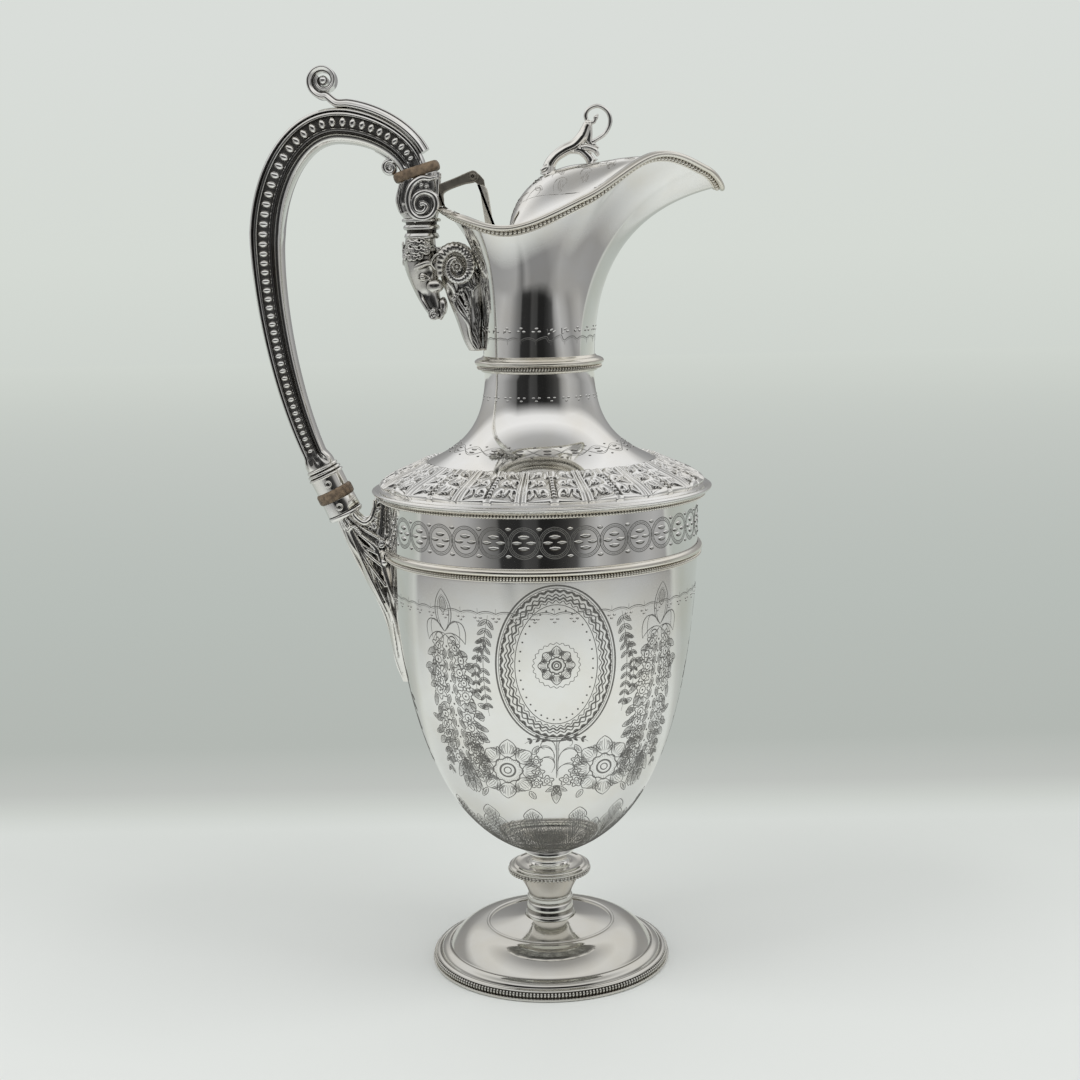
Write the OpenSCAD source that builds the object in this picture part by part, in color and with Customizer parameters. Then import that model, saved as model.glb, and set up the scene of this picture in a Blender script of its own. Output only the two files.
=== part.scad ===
// Claret jug with a helmet spout, a hinged domed lid and a ram's mask handle.
// The origin is the centre of the foot's resting face, +Z is up and the spout points along +X.

/* [Foot] */
// Radius of the foot's rim
foot_r = 46; // [40:0.5:52]
// Height of the foot, from the table to the stem's seat
foot_h = 16.7; // [14:0.1:22]
// Height of the foot's upright edge
foot_edge_h = 3.4; // [2.8:0.1:4.6]
// Radius where the dome starts
foot_dome_r = 38.5; // [34:0.5:39]
// Radius of the ridge on top of the dome
foot_ridge_r = 24.4; // [20:0.2:28]
// Sheet thickness of the foot
foot_wall = 1.4; // [0.8:0.1:2]

/* [Stem] */
// Smallest radius of the stem
stem_r = 8.2; // [6:0.1:9]
// Height of the stem, from the foot to the knop
stem_h = 17.4; // [14:0.1:24]
// Radius of the knop
knop_r = 15.7; // [13:0.1:18]
// Height of the knop
knop_h = 4; // [3:0.1:6]
// Radius of the reel between knop and bowl
reel_r = 6.8; // [5:0.1:8]
// Height of the reel and its collar
reel_h = 6; // [4:0.1:8]

/* [Bowl and shoulder] */
// Outer radius of the bowl at its top
bowl_r = 58.1; // [52:0.1:62]
// Height of the bowl
bowl_h = 118.4; // [105:0.2:130]
// Radius of the bowl's flat underside
bowl_seat_r = 9.2; // [8.5:0.1:11]
// Sheet thickness of bowl, band, shoulder and necks
wall = 1.2; // [0.8:0.1:1.6]
// Height of the straight band above the bowl
band_h = 21.4; // [16:0.2:28]
// How far the girdle wire stands out from the bowl
girdle_t = 1.8; // [1.2:0.1:3]
// Height of the girdle wire
girdle_h = 4.8; // [4:0.1:6]
// How far the shoulder's lip stands out over the band
lip_over = 5.5; // [4.5:0.1:8]
// Thickness of the shoulder's lip
lip_t = 1.8; // [1.4:0.1:3]
// Rise of the chased part of the shoulder
shoulder_rise = 9.8; // [8:0.1:13]
// Radius where the neck leaves the shoulder
neck_seat_r = 42.4; // [38:0.1:46]

/* [Neck] */
// Outer radius of the neck at the collar
neck_r = 20.6; // [18:0.1:22]
// Height of the concave lower neck
neck_h = 32.6; // [26:0.2:40]
// How far the collar stands out from the neck
collar_t = 3.4; // [2:0.1:4.5]
// Height of the collar
collar_h = 6; // [5:0.1:8]

/* [Spout] */
// Reach of the spout's tip from the axis
spout_reach = 68; // [60:0.5:74]
// Reach of the rim's back from the axis
rim_back = 34.4; // [31:0.2:36.4]
// Mean half width of the rim
rim_half_w = 26; // [24:0.2:30]
// How much the rim narrows towards the tip
rim_taper = 8.5; // [5:0.1:10]
// Height of the tip above the spout's base
tip_h = 59.8; // [54:0.2:64]
// Height of the rim's crest above the spout's base
crest_h = 70.9; // [66:0.2:76]
// Height of the rim's dip above the spout's base
dip_h = 46.3; // [42:0.2:50]
// Height of the rim's back above the spout's base
back_h = 54; // [50:0.2:58]
// How far the rim wire stands out
rim_wire_t = 1.5; // [1:0.1:2]
// Height of the rim wire
rim_wire_h = 3.3; // [2.4:0.1:4]

/* [Lid] */
// Height of the lid's dome above its border
dome_h = 18; // [12:0.2:20]
// Reach from the axis of the rim over the lid's front edge
lid_reach = 50; // [40:0.5:54]
// Sheet thickness of the lid
lid_t = 1.2; // [0.8:0.1:1.6]
// Running gap around the lid
lid_gap = 0.4; // [0.3:0.05:0.8]
// Height of the finial's branch above the lid
finial_h = 13.2; // [10:0.1:16]
// Thickness of the finial's branch
branch_d = 4; // [3:0.1:5]
// Thickness of the finial's tendril
tendril_d = 1.3; // [1:0.1:1.8]
// Radius of the tendril's curl
curl_r = 4.1; // [3:0.1:5]

/* [Hinge] */
// Radius of the hinge pin
pin_r = 1; // [0.8:0.05:1.3]
// Radius of the hinge's knuckles
knuckle_r = 2.1; // [1.9:0.05:2.8]
// Width of the lid's knuckle
lid_knuckle_w = 3.2; // [2.4:0.1:5]
// Width of each of the bracket's ears
ear_w = 1.6; // [1.2:0.1:2.5]
// Radial clearance of the pin in the lid's knuckle
pin_gap = 0.05; // [0.02:0.01:0.1]
// Side clearance between knuckle and ears
side_gap = 0.15; // [0.1:0.05:0.4]
// Height of the hinge axis above the rim's back
hinge_rise = 11; // [9:0.1:15]
// Distance of the hinge axis from the jug's axis
hinge_x = 22.8; // [20:0.1:26]

/* [Handle] */
// Reach of the handle's outer edge from the axis of the jug
handle_reach = 105.2; // [98:0.2:112]
// Height of the handle's widest place above the shoulder's underside
side_rise = 90.6; // [80:0.2:100]
// Height of the handle's arch above the upper insulator
arch_h = 15.8; // [12:0.2:22]
// Width of the handle seen from the side, at the arch
handle_w = 12.6; // [10:0.1:15]
// Width of the handle seen from the side, at the upper insulator
handle_top_w = 9.6; // [8:0.1:12]
// Width of the handle seen from the side, at the lower ferrule
handle_low_w = 8.2; // [7:0.1:11]
// Thickness of the handle across, at the arch
handle_t = 11; // [8:0.1:12]
// Thickness of the handle across, at the lower ferrule
handle_low_t = 9; // [7:0.1:11]
// Depth of the channel on each side
channel_d = 1.3; // [0.8:0.1:2]
// Thickness of the outer strap
strap_t = 3.2; // [2:0.1:4]
// Outer radius of the scroll on top
scroll_r = 7; // [5:0.1:8]

/* [Joints of the handle] */
// Distance of the lower joint's upper end from the bowl
joint_out = 24.2; // [20:0.1:27]
// Height of the lower joint's upper end above the shoulder's underside
joint_rise = 10.2; // [6:0.1:13]
// Thickness of the upper insulator
upper_ins_t = 3.6; // [2.5:0.1:5]
// Length of the upper insulator, front to back
upper_ins_l = 17.4; // [15:0.1:20]
// Width of the upper insulator
upper_ins_w = 13; // [11:0.1:15]
// Radius of the lower ferrules
ferrule_r = 6.4; // [5.5:0.1:7]
// Length of each plain sleeve
sleeve_l = 5.2; // [4:0.1:7]
// Thickness of the lower insulator
lower_ins_t = 4.2; // [2.5:0.1:5]
// Radius of the lower insulator
lower_ins_r = 7; // [6:0.1:8]
// Radius of the rivets
rivet_r = 1.1; // [0.8:0.05:1.4]
// Length of the leaf bracket, down the bowl
leaf_l = 64; // [56:0.5:72]
// Radius of the volutes on the capital
volute_r = 5.6; // [4.5:0.1:6]
// Width of the capital
capital_w = 12; // [10:0.1:14]
// Length of the ram's mask, down to the tip of the wool
mask_l = 41.5; // [36:0.1:46]
// Radius of the ring moulding over the mask
mask_ring_r = 6; // [5:0.1:6.2]

/* [Hidden] */

silver = [0.80, 0.80, 0.78];
fibre = [0.36, 0.27, 0.19];
round_fn = 96;
seam = 0.1;              // gap left for solder between pieces that meet on a curved face

shoulder_r = bowl_r + lip_over;

// Levels, from the table up
stem_z = foot_h;
knop_z = stem_z + stem_h;
reel_z = knop_z + knop_h;
bowl_z = reel_z + reel_h;
band_z = bowl_z + bowl_h;
shoulder_z = band_z + band_h;
lip_top_z = shoulder_z + lip_t;
neck_z = lip_top_z + shoulder_rise;
collar_z = neck_z + neck_h;
spout_z = collar_z + collar_h;

// ---------- small helpers ----------
function unit(v) = v / norm(v);
function bezier(p, t) = pow(1 - t, 3) * p[0] + 3 * pow(1 - t, 2) * t * p[1]
                      + 3 * (1 - t) * t * t * p[2] + t * t * t * p[3];
function curve(p, n) = [for (i = [0:n]) bezier(p, i / n)];
function backwards(v) = [for (i = [len(v) - 1:-1:0]) v[i]];
// Smooth value through evenly spaced values v, mirrored past both ends
function at(v, i) = v[i < 0 ? -i : i > len(v) - 1 ? 2 * (len(v) - 1) - i : i];
function smooth(v, x) = let (i = min(floor(x), len(v) - 2), f = x - i,
    a = at(v, i - 1), b = v[i], c = v[i + 1], d = at(v, i + 2))
    b + 0.5 * f * (c - a + f * (2 * a - 5 * b + 4 * c - d + f * (3 * (b - c) + d - a)));
// A line of points moved sideways by d, to the left of its direction
function sideways(p, d) = [for (i = [0:len(p) - 1])
    let (a = p[max(i - 1, 0)], b = p[min(i + 1, len(p) - 1)], t = unit(b - a)) p[i] + d * [-t[1], t[0]]];

// Skin over rings of equal length; closed: the last ring joins the first
module skin(rings, closed = false) {
    n = len(rings);
    m = len(rings[0]);
    sides = [for (i = [0:(closed ? n - 1 : n - 2)], j = [0:m - 1])
        let (a = i * m + j, b = i * m + (j + 1) % m,
             c = ((i + 1) % n) * m + (j + 1) % m, d = ((i + 1) % n) * m + j)
        each [[a, b, c], [a, c, d]]];
    caps = closed ? [] : concat([for (j = [1:m - 2]) [0, j + 1, j]],
                                [for (j = [1:m - 2]) (n - 1) * m * [1, 1, 1] + [0, j, j + 1]]);
    points = [for (r = rings) each r];
    faces = concat(sides, caps);
    // Faces are turned over where the rings run the other way round
    volume = [for (f = faces) points[f[0]] * cross(points[f[1]], points[f[2]])] * [for (f = faces) 1];
    polyhedron(points, volume < 0 ? faces : [for (f = faces) [f[0], f[2], f[1]]], convexity = 8);
}

// Turned solid made of n flat-sided steps, for cutting carved pieces
module turned_steps(profile, n)
    skin([for (p = profile) [for (k = [0:n - 1]) let (a = 360 * k / n)
        [p[0] * cos(a), p[0] * sin(a), p[1]]]]);

// Turned solid from a profile of [radius, height] points
module turned(profile, fn = round_fn) rotate_extrude($fn = fn) polygon(profile);

// A flat shape drawn in the X-Z plane, w thick and centred on the plane of symmetry
module plate_xz(w) rotate([90, 0, 0]) translate([0, 0, -w / 2]) linear_extrude(w) children();

// ---------- foot ----------
foot_skin = concat([[foot_r - 0.6, 0], [foot_r, 0.4], [foot_r, foot_edge_h - 2.3]],
    [[foot_r - 1.6, foot_edge_h - 2.2], [foot_r - 1.6, foot_edge_h - 0.1]],
    [[foot_r - 2, foot_edge_h], [foot_r - 3.2, foot_edge_h + 0.6], [foot_r - 3.6, foot_edge_h + 1.4]],
    [[foot_r - 4.4, foot_edge_h + 2.2], [foot_r - 5.6, foot_edge_h + 2.7]],
    [[foot_dome_r + 0.6, foot_edge_h + 2.9]],
    curve([[foot_dome_r, foot_edge_h + 3.4], [foot_dome_r - 4, foot_edge_h + 9],
           [foot_ridge_r + 6, foot_h - 2.6], [foot_ridge_r, foot_h - 2.4]], 10),
    curve([[foot_ridge_r - 0.6, foot_h - 2.8], [foot_ridge_r - 8, foot_h - 1.6],
           [stem_r + 5, foot_h - 1.2], [stem_r + 1.4, foot_h]], 8));

module foot() color(silver)
    turned(concat(foot_skin, [[0, foot_h], [0, foot_h - foot_wall]],
        [[stem_r + 1, foot_h - foot_wall - 0.4], [foot_ridge_r - 1.5, foot_h - foot_wall - 3]],
        curve([[foot_ridge_r - 0.4, foot_h - foot_wall - 2.8], [foot_ridge_r + 5, foot_h - 2.6 - foot_wall],
               [foot_dome_r - 5, foot_edge_h + 8 - foot_wall], [foot_dome_r - 1.6, foot_edge_h + 1.6]], 8),
        [[foot_r - 4, foot_edge_h + 0.2], [foot_r - 3.4, 0]]));

module foot_wire() color(silver) rotate_extrude($fn = round_fn)
    intersection() {
        translate([foot_r - 0.9, foot_edge_h - 1.15]) circle(r = 1.05, $fn = 32);
        translate([foot_r - 1.6 + seam, foot_edge_h - 2.2 + seam]) square([3, 2.1 - seam]);
    }

// ---------- stem ----------
module stem() color(silver)
    turned(concat([[0, stem_z], [stem_r + 1.4, stem_z], [stem_r + 1.2, stem_z + 1]],
        curve([[stem_r + 0.6, stem_z + 1.4], [stem_r + 1, stem_z + 3],
               [stem_r + 0.6, stem_z + 5], [stem_r + 0.1, stem_z + 5.6]], 6),
        [[stem_r + 0.4, stem_z + 6], [stem_r + 0.4, stem_z + 8]],
        curve([[stem_r, stem_z + 8.4], [stem_r + 0.1, stem_z + 11],
               [knop_r - 5.2, knop_z - 4.2], [knop_r - 3, knop_z]], 8),
        [[0, knop_z]]));

module knop() color(silver)
    turned(concat([[0, knop_z], [knop_r - 2.6, knop_z]],
        curve([[knop_r - 1, knop_z + 0.3], [knop_r + 0.3, knop_z + 1],
               [knop_r + 0.3, knop_z + 2.6], [knop_r - 1, knop_z + 3]], 6),
        [[knop_r - 1.4, knop_z + 3.1], [knop_r - 2.2, knop_z + 3.6], [knop_r - 3, knop_z + 3.8]],
        [[knop_r - 3.2, knop_z + 3.4], [reel_r + 2, knop_z + 3.5], [reel_r + 1, reel_z], [0, reel_z]]));

module stem_collar() color(silver)
    turned([[0, reel_z], [reel_r + 1, reel_z], [reel_r + 0.2, reel_z + 0.8], [reel_r, reel_z + 1.8],
            [reel_r + 0.3, reel_z + 2.8], [reel_r + 1.4, reel_z + 3.6], [bowl_seat_r, reel_z + 4.2],
            [bowl_seat_r + 0.3, reel_z + 5], [bowl_seat_r, bowl_z], [0, bowl_z]]);

// ---------- bowl and band ----------
girdle_z = band_z - 1;
bowl_line = concat(curve([[bowl_seat_r, bowl_z], [0.725 * bowl_r, bowl_z + 0.102 * bowl_h],
    [0.925 * bowl_r, bowl_z + 0.449 * bowl_h], [bowl_r, girdle_z - girdle_h / 2]], 24), [[bowl_r, band_z]]);

module bowl() color(silver)
    turned(concat([[0, bowl_z]], bowl_line, backwards(sideways(bowl_line, wall)), [[0, bowl_z + wall]]));

// Half-round moulding over a row of beads: [share of its reach, share of its height from its middle]
girdle_section = [[0.25, -0.5], [0.3, -0.42], [0.45, -0.38], [0.68, -0.25], [0.45, -0.1], [0.7, -0.04],
                  [1, 0.12], [1, 0.28], [0.6, 0.44]];
module girdle_wire() color(silver)
    turned(concat([[bowl_r + seam, girdle_z - girdle_h / 2]],
        [for (p = girdle_section) [bowl_r + p[0] * girdle_t, girdle_z + p[1] * girdle_h]],
        [[bowl_r + seam, girdle_z + girdle_h / 2]]));

module upper_band() color(silver)
    turned([[bowl_r - wall, band_z], [bowl_r, band_z], [bowl_r, shoulder_z], [bowl_r - wall, shoulder_z]]);

// ---------- shoulder ----------
shoulder_line = curve([[shoulder_r - 3.2, lip_top_z + 0.2], [shoulder_r - 6.5, lip_top_z + 4.6],
    [neck_seat_r + 7, neck_z - 4], [neck_seat_r + 0.4, neck_z]], 12);

module shoulder() color(silver)
    turned(concat([[bowl_r - wall, shoulder_z], [shoulder_r - 0.8, shoulder_z]],
        [[shoulder_r, shoulder_z + 0.6], [shoulder_r, lip_top_z - 0.6]],
        [[shoulder_r - 0.8, lip_top_z], [shoulder_r - 2.8, lip_top_z - 0.2]],
        shoulder_line, [[neck_seat_r - wall, neck_z]],
        backwards([for (p = shoulder_line) p - [wall, wall]]), [[bowl_r - wall, lip_top_z - wall]]));

// Moulding under the lip: [share of the lip's overhang, height from the lip's underside]
shoulder_wire_section = [[0, -0.05], [0, -1], [0.33, -1.2], [0.46, -2], [0.65, -2], [0.78, -1.2],
                         [0.74, -0.05]];
module shoulder_wire() color(silver)
    turned([for (p = shoulder_wire_section) [bowl_r + seam + p[0] * lip_over, shoulder_z + p[1]]]);

// ---------- neck ----------
neck_line = concat(curve([[neck_seat_r, neck_z], [0.63 * neck_seat_r, neck_z + 0.2 * neck_h],
    [neck_r, neck_z + 0.46 * neck_h], [neck_r - 0.2, collar_z - 1]], 14), [[neck_r - 0.2, collar_z]]);

module neck_base() color(silver)
    turned(concat(neck_line, backwards([for (p = sideways(neck_line, wall)) if (p.y > neck_z) p]),
                  [[neck_seat_r - 2 * wall, neck_z]]));

// Bead and roll of the collar: [share of its reach, share of its height]
collar_section = [[0.3, 0.12], [0.6, 0.2], [0.75, 0.3], [0.6, 0.4], [0.75, 0.44], [1, 0.55], [1, 0.66],
                  [0.7, 0.78], [0.25, 0.86]];
module neck_collar() color(silver)
    turned(concat([[neck_r - wall, collar_z], [neck_r, collar_z], [neck_r + 0.8, collar_z + 0.2]],
        [for (p = collar_section) [neck_r + p[0] * collar_t, collar_z + p[1] * collar_h]],
        [[neck_r + 0.2, spout_z], [neck_r - wall, spout_z]]));

// ---------- spout ----------
// The wall climbs from the round neck to the rim. Angle a is 0 at the tip and 180 at the back, and s is
// the share of the climb.
around = 60;
climb = 10;
rim_mid_x = (spout_reach - rim_back) / 2;
rim_half_l = (spout_reach + rim_back) / 2;
// Rim height, wall slope at the rim and pull of the wall's curve, every 30 degrees from tip to back
rim_heights = [tip_h, (tip_h + crest_h) / 2 + 1, crest_h, 0.43 * crest_h + 0.57 * dip_h - 0.8, dip_h,
               (dip_h + back_h) / 2 + 0.5, back_h];
lip_slopes = [0.19, 0.3, 0.7, 1.5, 2, 1.4, 0.98];
low_pulls = [0.56, 0.58, 0.62, 0.68, 0.74, 0.78, 0.8];
high_pulls = [0.75, 0.72, 0.66, 0.66, 0.75, 0.85, 0.95];
function fold(a) = (a > 180 ? 360 - a : abs(a)) / 30;
function rim_z(a) = spout_z + smooth(rim_heights, fold(a));
function rim_point(a) =
    [rim_mid_x + rim_half_l * cos(a), (rim_half_w - rim_taper * cos(a)) * sin(a), rim_z(a)];
function wall_point(a, s) = let (low = [neck_r * cos(a), neck_r * sin(a), spout_z], high = rim_point(a),
    run = norm([high.x - low.x, high.y - low.y]),
    corner = [low.x, low.y, high.z - run * smooth(lip_slopes, fold(a))])
    bezier([low, low + smooth(low_pulls, fold(a)) * (corner - low),
            high + smooth(high_pulls, fold(a)) * (corner - high), high], s);
function climb_dir(a, s) = unit(wall_point(a, min(s + 0.01, 1)) - wall_point(a, max(s - 0.01, 0)));
function wall_normal(a, s) = unit(cross(wall_point(a + 0.5, s) - wall_point(a - 0.5, s), climb_dir(a, s)));
// Point that lies d outside the spout's outer face
function wall_offset(a, s, d) = wall_point(a, s) + d * (s < 0.01 ? [cos(a), sin(a), 0] : wall_normal(a, s));

module spout() color(silver)
    skin([for (i = [0:around - 1]) let (a = i * 360 / around)
        concat([for (k = [0:climb]) wall_point(a, k / climb)],
               [for (k = [climb:-1:0]) wall_offset(a, k / climb, -wall)])], closed = true);

// Rim wire: [distance outside the wall, height along the wall above the rim's edge]
rim_section = [[seam, -rim_wire_h], [0.8, -rim_wire_h], [rim_wire_t, -0.66 * rim_wire_h],
               [0.9, -0.36 * rim_wire_h], [rim_wire_t + 0.3, -0.1 * rim_wire_h], [rim_wire_t + 0.2, 0.6],
               [seam, 0.7]];
module rim_wire() color(silver)
    skin([for (i = [0:around - 1]) let (a = i * 360 / around, p = wall_point(a, 1),
            along = wall_point(a + 0.5, 1) - wall_point(a - 0.5, 1),
            s = unit(p - wall_point(a, 1 - 1 / climb)), n = unit(cross(along, s)))
        [for (q = rim_section) p + q[0] * n + q[1] * s]], closed = true);

// ---------- lid ----------
lid_seat = 0.93;         // where the lid's edge meets the wall, as a share of the wall's climb
lid_around = 44;
lid_rings = 9;
lid_mid = [8, 0];
function lid_u(f) = let (front = (lid_reach - rim_mid_x) / rim_half_l)
    (front - 1) / 2 + (front + 1) / 2 * cos(f);
function lid_edge(f) = let (a = acos(max(-1, min(1, lid_u(f)))),
    p = wall_offset(a, lid_seat, -wall - lid_gap - lid_t * abs(wall_normal(a, lid_seat).z)),
    blunt = sqrt(1 - pow((1 + cos(f)) / 2, 6))) [p.x, p.y * blunt * (f > 180 ? -1 : 1), p.z];
function seat_z(x) = wall_point(acos(max(-1, min(1, (x - rim_mid_x) / rim_half_l))), lid_seat).z;
dome_back = -10;
function dome_rise(x, v) = let (f = (x - dome_back) / (lid_reach - 2 - dome_back))
    f <= 0 || f >= 1 || v >= 1 ? 0 : 2.95 * dome_h * pow(f, 0.55) * pow(1 - f, 1.4) * pow(1 - v * v, 0.6);
function lid_top(f, q) = let (e = lid_edge(f), x = lid_mid.x + q * (e.x - lid_mid.x), y = q * e.y,
    half = abs(lid_edge(acos(max(-1, min(1, (2 * x - lid_reach - lid_edge(180).x)
                                              / (lid_reach - lid_edge(180).x))))).y),
    v = abs(y) / max(half - 3, 0.1))
    [x, y, seat_z(x) + (e.z - seat_z(e.x)) * q * q + dome_rise(x, v)];
// Height of the lid's upper face on the plane of symmetry
function crest_z(x) = let (e = lid_edge(x < lid_mid.x ? 180 : 0), q = (x - lid_mid.x) / (e.x - lid_mid.x))
    seat_z(x) + (e.z - seat_z(e.x)) * q * q + dome_rise(x, 0);

// Rings of points on the lid's upper face, from its edge in, raised by d
function lid_face(d = 0) = [for (k = [0:lid_rings]) let (q = sqrt(1 - k / (lid_rings + 0.3)))
    [for (i = [0:lid_around - 1]) lid_top(i * 360 / lid_around, q) + [0, 0, d]]];

module lid() color(silver) skin(concat(backwards(lid_face(-lid_t)), lid_face()));

// ---------- hinge ----------
hinge = [-hinge_x, spout_z + back_h + hinge_rise];
arm_foot_x = -hinge_x + 5.8;
lid_seam = 0.25;         // the same gap under the pieces that stand on the domed lid
bore_l = 20;             // length of a cut that passes right through a hinge or a joint

// A cylinder on the hinge's axis, centred on the plane of symmetry
module on_hinge(r, h) translate([hinge.x, 0, hinge.y]) rotate([90, 0, 0])
    cylinder(r = r, h = h, center = true, $fn = 48);
// Point d along the lid from the arm's foot, h above the lid's upper face
function over_lid(d, h) = [arm_foot_x + d, crest_z(arm_foot_x + d) + h];

module lid_arm() color(silver) difference() {
    union() {
        on_hinge(knuckle_r, lid_knuckle_w);
        plate_xz(lid_knuckle_w)
            polygon([hinge + [-0.4, 2], hinge + [3.2, -1], over_lid(1.4, 1.6), over_lid(3.5, lid_seam),
                     over_lid(-2.2, lid_seam), over_lid(-1, 1.8), hinge + [-0.4, -1.9]]);
    }
    on_hinge(pin_r + pin_gap, bore_l);
}

// ---------- handle joints ----------
ins_tilt = 17.2;                                       // tilt of the upper insulator, front end up
ins_axis = [-sin(ins_tilt), cos(ins_tilt)];            // its axis in the X-Z plane
mask_x = -(rim_back + rim_wire_t + 0.8 + mask_ring_r); // axis of the capital and the mask's ring
capital_z = spout_z + back_h - 3.4;                    // underside of the capital
capital_h = 14.8;                                      // from there to the insulator, on the capital's axis
ins_mid = [mask_x, capital_z + capital_h] + ins_axis * upper_ins_t / 2;

module upper_insulator() color(fibre) difference() {
    translate([ins_mid.x, 0, ins_mid.y]) rotate([0, -ins_tilt, 0]) union() {
        cube([upper_ins_l - 4, upper_ins_w, upper_ins_t], center = true);
        cube([upper_ins_l, upper_ins_w - 4, upper_ins_t], center = true);
        for (x = [-1, 1], y = [-1, 1]) translate([x * (upper_ins_l / 2 - 2), y * (upper_ins_w / 2 - 2), 0])
            cylinder(r = 2, h = upper_ins_t, center = true, $fn = 32);
    }
    pin_pair(0.02);
}

// The two pins that pass the insulator and enter the handle and the capital
pin_spread = 4;
module pin_pair(gap) for (x = [-1, 1])
    translate([ins_mid.x, 0, ins_mid.y]) rotate([0, -ins_tilt, 0]) translate([x * pin_spread, 0, 0])
        cylinder(r = 1 + gap, h = upper_ins_t + 5 + 2 * gap, center = true, $fn = 32);
module upper_pins() color(silver) pin_pair(0);

cap_top = [mask_x, capital_z + capital_h];
cap_flat = [cos(ins_tilt), sin(ins_tilt)];             // direction of the capital's upper face
volute_t = 1.1;                                        // how far a volute stands out from the capital
module capital() color(silver) difference() {
    union() {
        plate_xz(capital_w)
            polygon([cap_top - 7.4 * cap_flat, cap_top + 6.6 * cap_flat,
                     [mask_x + 6, capital_z + 7], [mask_x + 5.8, capital_z + 3], [mask_x + 5.4, capital_z],
                     [mask_x - 6, capital_z], [mask_x - 7.6, capital_z + 3], [mask_x - 8, capital_z + 7]]);
        for (s = [-1, 1])
            translate([mask_x - 0.6, s * capital_w / 2, capital_z + 6]) rotate([s * -90, 0, 0]) difference() {
                cylinder(r = volute_r, h = volute_t, $fn = 48);
                translate([0, 0, volute_t - 0.6]) linear_extrude(2) spiral_band(volute_r - 1.1, 0.9);
            }
    }
    pin_pair(0.02);
}

// Flat spiral band that runs in from radius r
module spiral_band(r, w) polygon(concat([for (a = [0:20:560]) (r - a * (r - 0.9) / 560) * [cos(a), sin(a)]],
    [for (a = [560:-20:0]) (r - w - a * (r - w - 0.3) / 560) * [cos(a), sin(a)]]));

ring_h = 7.6;
mask_z = capital_z - ring_h;
module capital_neck() color(silver) translate([mask_x, 0, 0])
    turned([[0, mask_z], [mask_ring_r - 0.2, mask_z], [mask_ring_r - 0.2, mask_z + 2.4],
            [mask_ring_r - 0.9, mask_z + 2.8], [mask_ring_r - 0.9, mask_z + 3.6],
            [mask_ring_r - 0.1, mask_z + 4], [mask_ring_r, mask_z + 4.8], [mask_ring_r - 0.1, mask_z + 5.6],
            [mask_ring_r - 0.6, mask_z + 6], [mask_ring_r - 0.6, capital_z], [0, capital_z]], 64);

bracket_x = mask_x + 6.1;
module hinge_bracket() color(silver) {
    total_w = lid_knuckle_w + 2 * (side_gap + ear_w);
    difference() {
        plate_xz(total_w) union() {
            polygon([[bracket_x, rim_z(180) + 1.2], [bracket_x + 1.6, rim_z(180) + 1.2],
                     [bracket_x + 1.8, hinge.y - 6.6], hinge + [-1.6, -1.4], hinge + [-1, 1.8],
                     [bracket_x + 1.4, hinge.y - 2.6], [bracket_x + 0.1, hinge.y - 3.4]]);
            translate(hinge) circle(r = knuckle_r, $fn = 48);
        }
        translate([hinge.x - knuckle_r - 1.2, -lid_knuckle_w / 2 - side_gap, hinge.y - 8])
            cube([bore_l, lid_knuckle_w + 2 * side_gap, bore_l]);
        on_hinge(pin_r + 0.01, bore_l);
    }
}

module hinge_pin() color(silver) {
    half = lid_knuckle_w / 2 + side_gap + ear_w;
    head_h = 0.5;
    on_hinge(pin_r, 2 * half + 0.2);
    for (s = [-1, 1]) translate([0, s * (half + 0.1 + head_h / 2), 0]) on_hinge(pin_r + 0.4, head_h);
}

// Lower joint: its axis runs down from the handle's end to the leaf bracket
joint_tilt = 25;                                       // lean of the lower joint's axis from upright
joint_dir = [sin(joint_tilt), -cos(joint_tilt)];
joint_top = [-(bowl_r + joint_out), shoulder_z + joint_rise]; // centre of the ferrule's upper face
module along_joint(d) translate([joint_top.x + d * joint_dir.x, 0, joint_top.y + d * joint_dir.y])
    rotate([0, 180 - joint_tilt, 0]) children();
ring_l = 4.2;
lower_ins_at = ring_l + sleeve_l;
lower_sleeve_at = lower_ins_at + lower_ins_t;
collar_l = 2.6;                                        // length of the lower ferrule's collar
joint_l = lower_sleeve_at + sleeve_l + collar_l;
flare = 2 * ferrule_r - 1.8;                           // width of the handle's flared foot

module upper_ferrule() color(silver) difference() {
    along_joint(0) turned([[0, 0], [ferrule_r - 0.9, 0], [ferrule_r - 0.3, 0.5], [ferrule_r - 0.3, 1.1],
        [ferrule_r - 0.8, 1.5], [ferrule_r + 0.1, 1.9], [ferrule_r + 0.2, 2.6], [ferrule_r - 0.4, 3],
        [ferrule_r + 0.4, 3.4], [ferrule_r + 0.5, 4.2], [ferrule_r, ring_l],
        [ferrule_r - 0.1, lower_ins_at], [0, lower_ins_at]], 64);
    rivets(0.01);
}
module lower_insulator() color(fibre)
    along_joint(lower_ins_at) turned([[0, 0], [lower_ins_r - 0.6, 0], [lower_ins_r, 0.8],
        [lower_ins_r, lower_ins_t - 0.8], [lower_ins_r - 0.6, lower_ins_t], [0, lower_ins_t]], 64);
module lower_ferrule() color(silver) difference() {
    along_joint(lower_sleeve_at) turned([[0, 0], [ferrule_r, 0], [ferrule_r + 0.3, sleeve_l],
        [ferrule_r + 0.2, sleeve_l + 0.2], [ferrule_r + 0.5, sleeve_l + 0.6],
        [ferrule_r + 0.5, sleeve_l + 2.2], [ferrule_r, sleeve_l + collar_l], [0, sleeve_l + collar_l]], 64);
    rivets(0.01);
}
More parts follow.
